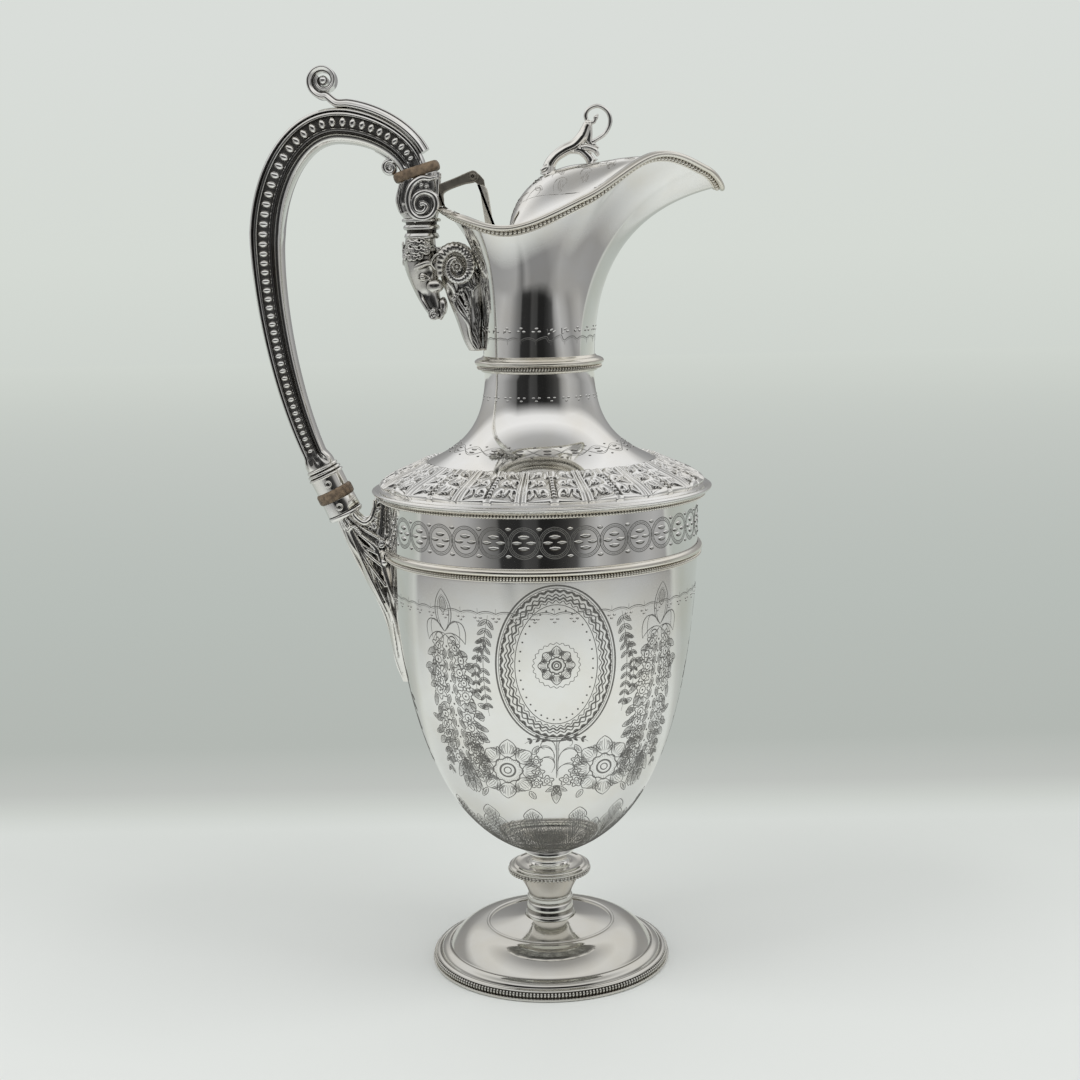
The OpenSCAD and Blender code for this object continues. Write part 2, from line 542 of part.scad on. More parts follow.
// Rivets, one in each sleeve, right through
module rivets(gap) for (d = [ring_l + sleeve_l / 2, lower_sleeve_at + sleeve_l / 2])
    along_joint(d) rotate([90, 0, 0])
        cylinder(r = rivet_r + gap, h = 2 * ferrule_r + (gap > 0 ? 4 : 1.2), center = true, $fn = 32);
module lower_pins() color(silver) rivets(0);

// ---------- handle ----------
handle_shift = 0.8;      // the handle stands a little behind the insulator's middle
top_start = ins_mid + ins_axis * (upper_ins_t / 2 + 0.02) - handle_shift * [cos(ins_tilt), sin(ins_tilt)];
arch_top = ins_mid.y + upper_ins_t / 2 + arch_h - 0.06 * handle_w;
arch_x = joint_top.x + 0.105 * handle_reach;
side_x = -handle_reach + handle_w / 2;
side_z = shoulder_z + side_rise;
path = concat(
    curve([top_start, top_start + 0.086 * handle_reach * ins_axis,
           [arch_x + 0.105 * handle_reach, arch_top], [arch_x, arch_top]], 10),
    [for (i = [1:12]) bezier([[arch_x, arch_top], [arch_x - 0.157 * handle_reach, arch_top],
                              [side_x, side_z + 0.243 * side_rise], [side_x, side_z]], i / 12)],
    [for (i = [1:14]) bezier([[side_x, side_z], [side_x, side_z - 0.287 * side_rise],
                              joint_top - 0.265 * side_rise * joint_dir,
                              joint_top - seam * joint_dir], i / 14)]);
path_n = len(path) - 1;
side_i = 21;             // point of the path next to the handle's widest place
function path_dir(i) = i == 0 ? ins_axis : i == path_n ? joint_dir : unit(path[i + 1] - path[i - 1]);
// Half of the handle's section, [across, sideways] as shares of its width and thickness
half_section = [[-0.5, 0.16], [-0.43, 0.38], [-0.32, 0.5], [-0.24, 0.48], [-0.2, -1], [0.12, -1],
                [0.16, 0.48], [0.3, 0.5], [0.42, 0.36], [0.5, 0.16]];
// How far ring i is on its way from the widest place down to the lower ferrule
function lower_share(i) = max(0, (i - side_i) / (path_n - side_i));
// Width of the handle at ring i, seen from the side
function width_at(i) = let (low = pow(lower_share(i), 0.8), top = max(0, 1 - i / 9))
    i == path_n ? flare : handle_w + (handle_low_w - handle_w) * low + (handle_top_w - handle_w) * top;
function thickness_at(i) = i == path_n ? flare : handle_t + (handle_low_t - handle_t) * lower_share(i);
function handle_ring(i) = let (t = path_dir(i), n = [t[1], -t[0]], w = width_at(i), th = thickness_at(i),
    d = i < 1 || i > path_n - 1 ? 0 : channel_d,
    side = [for (p = half_section) [p[0] * w, p[1] < 0 ? 0.48 * th - d : p[1] * th]])
    [for (p = concat(side, [for (q = backwards(side)) [q[0], -q[1]]]))
        [path[i].x + p[0] * n[0], p[1], path[i].y + p[0] * n[1]]];

module handle() color(silver) difference() {
    skin([for (i = [0:path_n]) handle_ring(i)]);
    pin_pair(0.02);
}

// Strap over the arch's front, curling into the scroll on top
strap_from = 1;
strap_to = 11;
strap_lift = seam + strap_t / 2;     // from the handle's outer face to the middle of the strap
scroll_mid = path[strap_to] + [-0.4, handle_w / 2 + strap_lift + scroll_r + 1.3];
function strap_point(i) = let (t = path_dir(i)) path[i] + (width_at(i) / 2 + strap_lift) * [t[1], -t[0]];
scroll_turn = 500;
scroll_steps = 26;
strap_line = [for (i = [strap_from:strap_to - 1]) strap_point(i)];
scroll_line = [for (k = [0:scroll_steps]) let (a = 170 + k * scroll_turn / scroll_steps,
    r = (scroll_r - strap_t / 2) * (1 - 0.6 * k / scroll_steps)) scroll_mid + r * [sin(a), cos(a)]];
strap_path = concat(strap_line, scroll_line);
function strap_dir(i) = unit(strap_path[min(i + 1, len(strap_path) - 1)] - strap_path[max(i - 1, 0)]);
strap_sides = 8;
strap_corner = 1.08;     // the corners stand out, so that the flats lie at the strap's thickness
function strap_ring(i) = let (t = strap_dir(i), p = strap_path[i],
    f = max(0, (i - len(strap_line)) / scroll_steps),
    h = strap_corner * strap_t / 2 * (1 - 0.45 * f), w = strap_corner * 0.42 * handle_t * (1 - 0.2 * f))
    [for (k = [0:strap_sides - 1]) let (c = (k + 0.5) * 360 / strap_sides)
        [p.x + h * cos(c) * t[1], w * sin(c), p.y - h * cos(c) * t[0]]];
module handle_strap() color(silver) union() {
    skin([for (i = [0:len(strap_path) - 1]) strap_ring(i)]);
    translate([scroll_mid.x, 0, scroll_mid.y]) rotate([90, 0, 0])
        cylinder(r = 1.5, h = handle_t * 0.7, center = true, $fn = 16);
}

// Leaf curl under the arch, next to the upper insulator
curl_at = 2;
leaf_curl_r = 1.7;
module handle_curl() color(silver) {
    t = path_dir(curl_at);
    n = [t[1], -t[0]];
    p = path[curl_at] - (width_at(curl_at) / 2 + leaf_curl_r + seam) * n;
    translate([p.x, 0, p.y]) plate_xz(handle_t * 0.6) union() {
        circle(r = leaf_curl_r, $fn = 32);
        translate([-1.4, -1.8]) circle(r = 1.3, $fn = 32);
    }
}

// ---------- finial ----------
// Round tube along points [x, z, radius]
module branch(pts, sides) skin([for (i = [0:len(pts) - 1])
    let (a = pts[max(i - 1, 0)], b = pts[min(i + 1, len(pts) - 1)], p = pts[i], r = p[2],
         t = unit([b[0] - a[0], b[1] - a[1]]))
    [for (k = [0:sides - 1]) let (c = 360 * k / sides)
        [p[0] + r * cos(c) * t[1], r * sin(c), p[1] - r * cos(c) * t[0]]]]);
foot_1_x = 0.1 * lid_reach;
foot_2_x = 0.41 * lid_reach;
foot_1 = [foot_1_x, crest_z(foot_1_x) + lid_seam];
foot_2 = [foot_2_x, crest_z(foot_2_x) + lid_seam];
br = branch_d / 2;
knob = foot_2 + [-0.045, 1] * finial_h;
curl_mid = knob + [0.73, 0.83] * curl_r;
// Everything under the lid's upper face and the gap over it
module under_lid() {
    top = lid_face(lid_seam);
    skin(concat(backwards([for (r = top) [for (p = r) [p.x, p.y, spout_z]]]), top));
}
sunk = [0, 1.4];         // how far each leg starts below the lid's face, to be cut off there
main_leg = [foot_1 - sunk, foot_1 + [-0.14, 0.68] * finial_h, knob - [0.38, 0.49] * finial_h, knob];
side_leg = [foot_2 - sunk, foot_2 + [0.06, 0.3] * finial_h, foot_2 + [-0.04, 0.45] * finial_h,
            knob - [0.26, 0.35] * finial_h];
tendril_root = [knob - [0.045, 0.39] * finial_h, knob + [0.18, -0.27] * finial_h];
tendril_steps = 20;
function tendril_point(k) = let (f = k / tendril_steps, a = -55 + 440 * f, r = curl_r * (1.1 - 0.75 * f))
    [curl_mid[0] + r * cos(a), curl_mid[1] + r * sin(a) * 1.15, tendril_d / 2 * (1 - 0.3 * f)];

module finial() color(silver) difference() {
    union() {
        branch([for (t = [0:0.1:1]) let (p = bezier(main_leg, t))
                [p[0], p[1], br * (t < 0.05 ? 1.1 : 0.72 + 0.5 * sin(180 * t))]], 8);
        branch([for (t = [0:0.125:1]) let (p = bezier(side_leg, t)) [p[0], p[1], br * (1.05 - 0.5 * t)]], 8);
        branch(concat([for (p = tendril_root) [p[0], p[1], tendril_d / 2]],
                      [for (k = [0:tendril_steps]) tendril_point(k)]), 6);
    }
    under_lid();
}

// ---------- ram's mask ----------
mask_unit = mask_l / 100;
// Stations of the skull, from the ring down to the muzzle, in hundredths of the mask:
// [x, z, half depth, half width]
skull = [[0, 0, 14, 14], [-1, -10.6, 15.9, 15.4], [1, -24, 15.7, 14.5], [3.9, -38.5, 13, 11.3],
         [7, -50.6, 10.6, 8.9], [11, -62.6, 8.7, 8], [13.5, -69.4, 4.8, 4.8]];
// Stations of the wool behind it: [front x, back x, z, half width]
wool = [[2.4, 21.7, -7.2, 14.5], [7.2, 41, -16.9, 18.3], [9.6, 53, -33.7, 17.8], [19.3, 53, -53, 15.4],
        [28.9, 53, -72.3, 12], [34.9, 53, -89.2, 8.7], [39.8, 53, -100, 6.3]];
// Line of the spout's back, which the mask is fitted to
back_line = [for (k = [0:8]) let (p = wall_point(180, k / 8)) [seam - p.x, p.z]];
mask_sides = 12;
module ram_head() color(silver) difference() {
    translate([mask_x, 0, mask_z]) union() {
        skin([for (s = skull) [for (k = [0:mask_sides - 1])
            let (c = -360 * k / mask_sides, nod = s[1] < 0 ? 0.25 : 0)
            mask_unit * [s[0] + s[2] * cos(c), s[3] * sin(c), s[1] + nod * s[2] * cos(c)]]]);
        skin([for (s = wool) [for (k = [0:mask_sides - 1]) let (c = -360 * k / mask_sides)
            mask_unit * [(s[0] + s[1]) / 2 + (s[1] - s[0]) / 2 * cos(c), s[3] * sin(c), s[2]]]]);
        for (m = [0, 1]) mirror([0, m, 0]) horn();
    }
    turned_steps(concat([[0.01, mask_z - 1.5 * mask_l], [neck_r + seam, mask_z - 1.5 * mask_l]], back_line,
        [[0.01, rim_z(180)]]), 48);
}
// Horn, coiled beside the head: its middle, its turns, and how its radii change from root to tip
horn_mid = [30.4, -28.9];
horn_rings = 18;
horn_sides = 8;
module horn() skin([for (k = [0:horn_rings - 1]) let (a = 205 - 28 * k, r = 15.9 - 0.63 * k,
        tr = (6.5 - 0.24 * k) * min(1, 0.45 + 0.3 * k), y = 13 + 0.39 * k,
        mid = [horn_mid[0] + r * cos(a), horn_mid[1] + r * sin(a)], out = [cos(a), sin(a)])
    [for (j = [0:horn_sides - 1]) let (c = -360 * j / horn_sides)
        mask_unit * [mid[0] + tr * cos(c) * out[0], y + tr * sin(c), mid[1] + tr * cos(c) * out[1]]]]);

// ---------- leaf bracket ----------
leaf_z = joint_top.y + joint_l * joint_dir.y;
leaf_x = joint_top.x + joint_l * joint_dir.x;
leaf_unit = leaf_l / 100;
// Stations of the leaf from the ferrule down, in hundredths of its length:
// [outer x, outer z, inner x, inner z, half width]. The outer side and the drops are counted from the
// joint's end, and the inner side from the joint's end along the neck or from the bowl along the blade.
leaf_neck = [[-4.9, -2.6, 4.8, 1.9, 5.3], [-1.4, -11.6, 14.2, -3.8, 7]];
leaf_blade = [[2.6, -21.3, 9.4, -14, 9.4], [9.5, -35.9, 14, -32.8, 11.6], [18.3, -54.7, 15.6, -53.1, 12.2],
              [23, -70.3, 18.8, -70.3, 10], [25.8, -87.5, 20.3, -87.5, 6.9],
              [30.1, -100, 21.9, -100, 2.5]];
leaf = concat([for (s = leaf_neck) leaf_unit * s + [leaf_x, leaf_z, leaf_x, leaf_z, 0]],
              [for (s = leaf_blade) leaf_unit * s + [leaf_x, leaf_z, -bowl_r, leaf_z, 0]]);
// Root that climbs the band: [reach from the band, z, half width]
root = [[7, leaf_z - 0.156 * leaf_l, 5], [5, leaf_z - 0.062 * leaf_l, 4.6],
        [4.2, leaf_z + 0.016 * leaf_l, 4], [0.55 * lip_over, shoulder_z - 2.3, 3.4]];
leaf_end_z = leaf_z - 1.1 * leaf_l;
leaf_cut = concat([for (p = bowl_line) if (p.y > leaf_end_z && p.y < girdle_z - girdle_h / 2) p]);
leaf_sides = 16;         // every other corner of the leaf's section is a flute
root_sides = 8;
root_sunk = 2;           // how far the root starts inside the band, to be cut off there
leaf_gap = 3 * seam;     // the bowl is cut away with flat steps, so the gap allows for them
girdle_low = girdle_z - girdle_h / 2 - seam;
girdle_high = girdle_z + girdle_h / 2 + seam;
function leaf_ring(s) = let (mid = [s[0] + s[2], s[1] + s[3]] / 2, half = [s[0] - s[2], s[1] - s[3]] / 2)
    [for (k = [0:leaf_sides - 1]) let (c = -360 * k / leaf_sides, flute = k % 2 == 0 ? 1 : 0.93)
        [mid.x + half.x * cos(c) * flute, -s[4] * sin(c) * flute, mid.y + half.y * cos(c) * flute]];
function root_ring(s) = [for (k = [0:root_sides - 1]) let (c = -360 * k / root_sides)
    [root_sunk - bowl_r - s[0] / 2 - (s[0] / 2 + root_sunk) * cos(c), -s[2] * sin(c), s[1]]];

module leaf_bracket() color(silver) difference() {
    union() {
        skin([for (s = leaf) leaf_ring(s)]);
        skin([for (s = root) root_ring(s)]);
    }
    turned_steps(concat([[0.01, leaf_end_z]],
        [for (k = [0:2:len(leaf_cut) - 1]) leaf_cut[k] + [leaf_gap, 0]],
        [[bowl_r + leaf_gap, girdle_low], [bowl_r + girdle_t + leaf_gap, girdle_low],
         [bowl_r + girdle_t + leaf_gap, girdle_high], [bowl_r + leaf_gap, girdle_high],
         [bowl_r + leaf_gap, shoulder_z + 5], [0.01, shoulder_z + 5]]), 48);
}

foot();
foot_wire();
stem();
knop();
stem_collar();
bowl();
girdle_wire();
upper_band();
shoulder_wire();
shoulder();
neck_base();
neck_collar();
spout();
rim_wire();
lid();
lid_arm();
finial();
hinge_bracket();
hinge_pin();
handle();
handle_strap();
handle_curl();
upper_insulator();
upper_pins();
capital();
capital_neck();
ram_head();
upper_ferrule();
lower_insulator();
lower_ferrule();
lower_pins();
leaf_bracket();
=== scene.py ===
import math

import bpy
import numpy as np
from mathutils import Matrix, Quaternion, Vector


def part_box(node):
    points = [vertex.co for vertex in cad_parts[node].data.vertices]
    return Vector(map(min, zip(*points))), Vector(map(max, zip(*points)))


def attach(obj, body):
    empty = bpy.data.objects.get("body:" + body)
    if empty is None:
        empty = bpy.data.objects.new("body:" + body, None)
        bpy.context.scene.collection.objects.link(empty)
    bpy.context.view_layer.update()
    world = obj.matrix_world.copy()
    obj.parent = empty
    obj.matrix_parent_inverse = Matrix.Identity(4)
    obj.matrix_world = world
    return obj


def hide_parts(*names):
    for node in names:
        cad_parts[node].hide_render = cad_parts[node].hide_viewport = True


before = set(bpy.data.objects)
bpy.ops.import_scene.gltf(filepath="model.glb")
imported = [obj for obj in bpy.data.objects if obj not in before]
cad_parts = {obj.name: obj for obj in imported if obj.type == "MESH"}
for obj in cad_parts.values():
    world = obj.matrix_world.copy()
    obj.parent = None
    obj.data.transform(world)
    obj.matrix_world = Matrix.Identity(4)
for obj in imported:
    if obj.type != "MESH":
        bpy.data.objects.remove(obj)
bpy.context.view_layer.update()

# Everything below is in millimetres, in the frame of the CAD model. mesh_of() turns it into metres.
MM = 0.001
STEP = 1      # carving's point counts are divided by this; 1 gives the full detail


# ---------- places read from the frame ----------
def low(node, axis=2):
    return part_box(node)[0][axis] / MM


def high(node, axis=2):
    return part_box(node)[1][axis] / MM


def reach(node):
    return high(node, 1)


def centre(node):
    return (np.array(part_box(node)).sum(0)) / 2 / MM


foot_r = reach("foot")
stem_z = high("foot")
knop_z = low("knop")
knop_r = reach("knop")
reel_z = low("stem_collar")
bowl_z = low("bowl")
band_z = low("upper_band")
bowl_r = reach("upper_band")
shoulder_z = low("shoulder")
shoulder_r = reach("shoulder")
neck_z = low("neck_base")
neck_seat_r = reach("neck_base")
collar_z = low("neck_collar")
spout_z = low("spout")
collar_t = 3.4
neck_r = reach("neck_collar") - collar_t
stem_r = 8.2
bowl_seat_r = 9.2                    # where the bowl stands on the stem's collar
wall = 1.2


# ---------- arrays of points ----------
def unit(v):
    return v / np.maximum(np.linalg.norm(v, axis=-1, keepdims=True), 1e-12)


def bezier(p, t):
    t = np.asarray(t, float)[..., None]
    p = [np.asarray(q, float) for q in p]
    return (1 - t) ** 3 * p[0] + 3 * (1 - t) ** 2 * t * p[1] + 3 * (1 - t) * t * t * p[2] + t ** 3 * p[3]


def curve(p, n):
    """A Bezier curve of n steps."""
    return bezier(p, np.linspace(0, 1, n + 1))


def smooth_table(values, x):
    """Smooth value through evenly spaced values, mirrored past both ends."""
    v = np.concatenate(([values[1]], values, [values[-2]]))
    i = np.clip(np.floor(x).astype(int), 0, len(values) - 2)
    f = x - i
    a, b, c, d = v[i], v[i + 1], v[i + 2], v[i + 3]
    return b + 0.5 * f * (c - a + f * (2 * a - 5 * b + 4 * c - d + f * (3 * (b - c) + d - a)))


def filleted(points, radius=0.2, n=5):
    """The line of points with its corners rounded. A point may bring its own radius as a third number."""
    out = [np.array(points[0][:2], float)]
    for a, b, c in zip(points, points[1:], points[2:]):
        r = b[2] if len(b) > 2 else radius
        p, q, s = (np.array(v[:2], float) for v in (a, b, c))
        u, w = p - q, s - q
        reach_in = min(r, 0.49 * np.linalg.norm(u), 0.49 * np.linalg.norm(w))
        start, end = q + unit(u) * reach_in, q + unit(w) * reach_in
        for t in np.linspace(0, 1, n + 1):
            out.append((1 - t) ** 2 * start + 2 * (1 - t) * t * q + t * t * end)
    out.append(np.array(points[-1][:2], float))
    return np.array(out)


def joined(*lines):
    return np.concatenate([np.asarray([p[:2] for p in line], float) for line in lines])


def lengths(line):
    return np.concatenate(([0], np.cumsum(np.linalg.norm(np.diff(line, axis=0), axis=1))))


def resampled(line, step=None, count=None):
    """Evenly spaced points on a line."""
    s = lengths(line)
    count = count or max(2, int(round(s[-1] / step)) + 1)
    at = np.linspace(0, s[-1], count)
    return np.stack([np.interp(at, s, line[:, k]) for k in range(line.shape[1])], 1)


def turned_points(profile, angles):
    """Rows follow the profile of (radius, height), columns the angles, from the side at -Y towards +X."""
    r, z = profile[:, 0][:, None], profile[:, 1][:, None]
    return np.stack([r * np.sin(angles), -r * np.cos(angles), z + 0 * angles], -1)


def quads(rows, cols, close_rows=False):
    """Faces between rows of points. The columns always close."""
    i = np.arange(rows if close_rows else rows - 1)[:, None]
    j = np.arange(cols)[None, :]
    i1, j1 = (i + 1) % rows, (j + 1) % cols
    i, j, i1, j1 = np.broadcast_arrays(i, j, i1, j1)
    return np.stack([i * cols + j, i * cols + j1, i1 * cols + j1, i1 * cols + j], -1).reshape(-1, 4)


def circle_angles(n):
    return np.arange(n) * 2 * np.pi / n


# ---------- pieces ----------
class Mass:
    """Points and faces gathered into one piece. shade is 0 on bright metal and 1 where patina and painted
    shade are darkest.
    """

    def __init__(self):
        self.points, self.faces, self.shades, self.count = [], [], [], 0

    def add(self, points, faces, shade=0.0):
        points = np.asarray(points, float).reshape(-1, 3)
        groups = faces if isinstance(faces, list) else [faces]
        self.faces += [np.asarray(f, int) + self.count for f in groups if len(f)]
        self.points.append(points)
        self.shades.append(np.broadcast_to(np.asarray(shade, float).ravel(), (len(points),)))
        self.count += len(points)
        return self

    def arrays(self):
        return np.concatenate(self.points), self.faces, np.concatenate(self.shades)


def mesh_of(name, points, groups):
    me = bpy.data.meshes.new(name)
    me.vertices.add(len(points))
    me.vertices.foreach_set("co", (np.asarray(points, float) * MM).astype(np.float32).ravel())
    flat = np.concatenate([g.ravel() for g in groups])
    sizes = np.concatenate([np.full(len(g), g.shape[1]) for g in groups])
    me.loops.add(len(flat))
    me.loops.foreach_set("vertex_index", flat.astype(np.int32))
    me.polygons.add(len(sizes))
    me.polygons.foreach_set("loop_start", (np.cumsum(sizes) - sizes).astype(np.int32))
    me.update(calc_edges=True)
    me.validate()
    return me


def piece(name, mass, material, nodes=(), body="jug", sharp=50):
    """Makes a piece of the jug from a Mass, and lets it stand for its CAD nodes."""
    points, groups, shades = mass.arrays()
    me = mesh_of(name, points, groups)
    if len(me.vertices) == len(shades):
        me.attributes.new("shade", "FLOAT", "POINT").data.foreach_set("value", shades.astype(np.float32))
    me.shade_smooth()
    me.set_sharp_from_angle(angle=math.radians(sharp))
    obj = bpy.data.objects.new(name, me)
    bpy.context.scene.collection.objects.link(obj)
    me.materials.append(material)
    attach(obj, body)
    if nodes:
        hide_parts(*nodes)
    return obj


def turned(mass, profile, n=240, shade=0.0):
    """Adds a closed turned form. The profile runs up the outside and comes back inside."""
    angles = circle_angles(n)
    if np.ndim(shade):
        shade = np.repeat(shade, n)
    return mass.add(turned_points(profile, angles), quads(len(profile), n), shade)


def ball(around=10, up=6):
    """Points and faces of a unit ball."""
    lat = np.linspace(-np.pi / 2, np.pi / 2, up + 1)[1:-1]
    lon = circle_angles(around)
    body = np.stack([np.cos(lat)[:, None] * np.cos(lon), np.cos(lat)[:, None] * np.sin(lon),
                     np.sin(lat)[:, None] + 0 * lon], -1).reshape(-1, 3)
    points = np.concatenate([body, [[0, 0, -1], [0, 0, 1]]])
    n, j = len(body), np.arange(around)
    j1 = (j + 1) % around
    last = (up - 2) * around
    caps = np.concatenate([np.stack([0 * j + n, j1, j], 1),
                           np.stack([0 * j + n + 1, last + j, last + j1], 1)])
    return points, [quads(up - 1, around), caps]


def stamped(mass, shape, places, axes, shade=0.0):
    """Adds one shape at many places. axes holds a 3x3 for each, whose rows are the shape's x, y and z."""
    points, groups = shape
    for place, turn in zip(places, axes):
        mass.add(points @ turn + place, groups, shade)
    return mass


def bead_row(mass, r, z, count, size, lean=0.0):
    """A ring of beads. size is (along the ring, outwards, upwards)."""
    a = circle_angles(count)
    out = np.stack([np.sin(a), -np.cos(a), 0 * a], -1)
    along = np.stack([np.cos(a), np.sin(a), 0 * a], -1)
    up = np.array([0, 0, 1.0]) + lean * along
    axes = np.stack([along * size[0], out * size[1], np.broadcast_to(up, along.shape) * size[2]], 1)
    points, groups = ball(8, 6)
    # Patina and painted shade where each bead meets the next, and painted shade on each bead's underside
    shade = np.clip((np.abs(points[:, 0]) - 0.5) / 0.4, 0, 1) * 0.7 + 0.4 * (points[:, 2] < -0.6)
    return stamped(mass, (points, groups), out * r + [0, 0, z], axes, np.clip(shade, 0, 1))


# ---------- materials ----------
def tone(v):
    """Linear value of an sRGB tone from 0 to 255."""
    v = v / 255
    return v / 12.92 if v <= 0.04045 else ((v + 0.055) / 1.055) ** 2.4


def colour_of(tones):
    """A colour from one grey tone or from three tones, 0 to 255."""
    tones = (tones,) * 3 if np.isscalar(tones) else tones
    return (*(tone(v) for v in tones), 1.0)


def set_inputs(node, inputs):
    """Gives each named input its number or colour, or links it to a socket."""
    for name, value in inputs.items():
        if isinstance(value, bpy.types.NodeSocket):
            node.id_data.links.new(value, node.inputs[name])
        else:
            node.inputs[name].default_value = value


def add_node(tree, kind, inputs=None, **settings):
    node = tree.nodes.new("ShaderNode" + kind)
    for name, value in settings.items():
        setattr(node, name, value)
    set_inputs(node, inputs or {})
    return node


def calc(tree, operation, *values, clamp=False):
    node = add_node(tree, "Math", operation=operation, use_clamp=clamp)
    set_inputs(node, dict(enumerate(values)))
    return node.outputs[0]


def ramp(tree, value, stops):
    """Colour at a value from 0 to 1, between stops of (position, colour)."""
    node = add_node(tree, "ValToRGB", {"Fac": value})
    elements = node.color_ramp.elements
    elements[0].position, elements[0].color = stops[0]
    elements[1].position, elements[1].color = stops[-1]
    for position, colour in stops[1:-1]:
        elements.new(position).color = colour
    return node.outputs["Color"]


def tone_ramp(tree, value, *stops):
    return ramp(tree, value, [(position, colour_of(tones)) for position, tones in stops])


def mix_colours(tree, factor, a, b):
    return add_node(tree, "Mix", {"Factor": factor, "A": a, "B": b}, data_type="RGBA").outputs["Result"]


def noise(tree, place, scale, detail):
    return add_node(tree, "TexNoise", {"Vector": place, "Scale": scale, "Detail": detail}).outputs["Fac"]


def bump(tree, height, strength, distance, normal=None):
    inputs = {"Height": height, "Strength": strength, "Distance": distance}
    if normal:
        inputs["Normal"] = normal
    return add_node(tree, "Bump", inputs).outputs["Normal"]


def new_material(name):
    material = bpy.data.materials.new(name)
    material.use_nodes = True
    tree = material.node_tree
    return material, tree, tree.nodes["Principled BSDF"], add_node(tree, "TexCoord").outputs["Object"]


def silver(name, polish=0.08, tint=(0.91, 0.905, 0.885), patina_and_shade=(0.05, 0.043, 0.036), wave=0.25):
    """Old silver plate: bright where it is rubbed, with patina and painted shade in the hollows, and hairline
    wear.
    """
    material, tree, shader, place = new_material(name)
    shade = add_node(tree, "Attribute", attribute_name="shade").outputs["Fac"]
    stain = noise(tree, place, 55, 6)
    yellowed = (tint[0] * 0.93, tint[1] * 0.9, tint[2] * 0.84, 1)
    metal = ramp(tree, stain, [(0.42, (*tint, 1)), (0.85, yellowed)])
    ragged = calc(tree, "MULTIPLY_ADD", stain, 0.5, -0.25)
    # black: how much patina and painted shade the shade attribute lays on, ragged by the stains
    black = calc(tree, "ADD", shade, calc(tree, "MULTIPLY", ragged, shade), clamp=True)
    wear = noise(tree, place, 420, 4)
    rough = add_node(tree, "MapRange", {"Value": wear, "To Min": polish * 0.6, "To Max": polish * 1.6})
    beaten = bump(tree, noise(tree, place, 38, 1), wave, 0.0004)
    set_inputs(shader, {"Metallic": 1.0,
                        "Base Color": mix_colours(tree, black, metal, (*patina_and_shade, 1)),
                        "Roughness": calc(tree, "MULTIPLY_ADD", black, 0.3, rough.outputs["Result"]),
                        "Normal": bump(tree, wear, 0.03, 0.0001, beaten)})
    return material


def fibre(name):
    """Old woven fibre of the insulators: brown, dull, with fine layers and darker spots."""
    material, tree, shader, place = new_material(name)
    brown = ramp(tree, noise(tree, place, 700, 6),
                 [(0.3, (0.075, 0.052, 0.034, 1)), (0.75, (0.25, 0.18, 0.115, 1))])
    layers = add_node(tree, "TexWave", {"Vector": place, "Scale": 900, "Distortion": 3}, bands_direction="Z")
    set_inputs(shader, {"Base Color": brown, "Roughness": 0.5,
                        "Normal": bump(tree, layers.outputs["Fac"], 0.35, 0.0001)})
    return material


PLATE = silver("silver_polished", polish=0.05)
CAST = silver("silver_cast", polish=0.11, wave=0.1)
BEADED = silver("silver_beaded", polish=0.13, tint=(0.86, 0.83, 0.76), wave=0.0)
AGED = silver("silver_aged", polish=0.07, tint=(0.68, 0.67, 0.63))
# The cast pieces' hollows go near black: patina together with painted shade
HOLLOWED = silver("silver_patina_and_painted_shade_hollows", polish=0.09, tint=(0.93, 0.92, 0.89),
                  patina_and_shade=(0.014, 0.012, 0.01), wave=0.1)
CHASED = silver("silver_chased", polish=0.12, wave=0.0, patina_and_shade=(0.045, 0.04, 0.034))
# Cut lines and dots are dark from tarnish and from painted shade of the grooves they stand for
LINES = silver("silver_engraved", polish=0.5, tint=(0.25, 0.246, 0.237), wave=0.0)
FAINT = silver("silver_lightly_engraved", polish=0.4, tint=(0.5, 0.49, 0.47), wave=0.0)
HAMMERED = silver("silver_lid", polish=0.09, wave=1.0)
WORN = silver("silver_worn", polish=0.5, tint=(0.95, 0.93, 0.85), wave=0.1)
PATINA = silver("silver_dark_patina", polish=0.42, tint=(0.36, 0.335, 0.285), wave=0.1)
FIBRE = fibre("insulator_fibre")


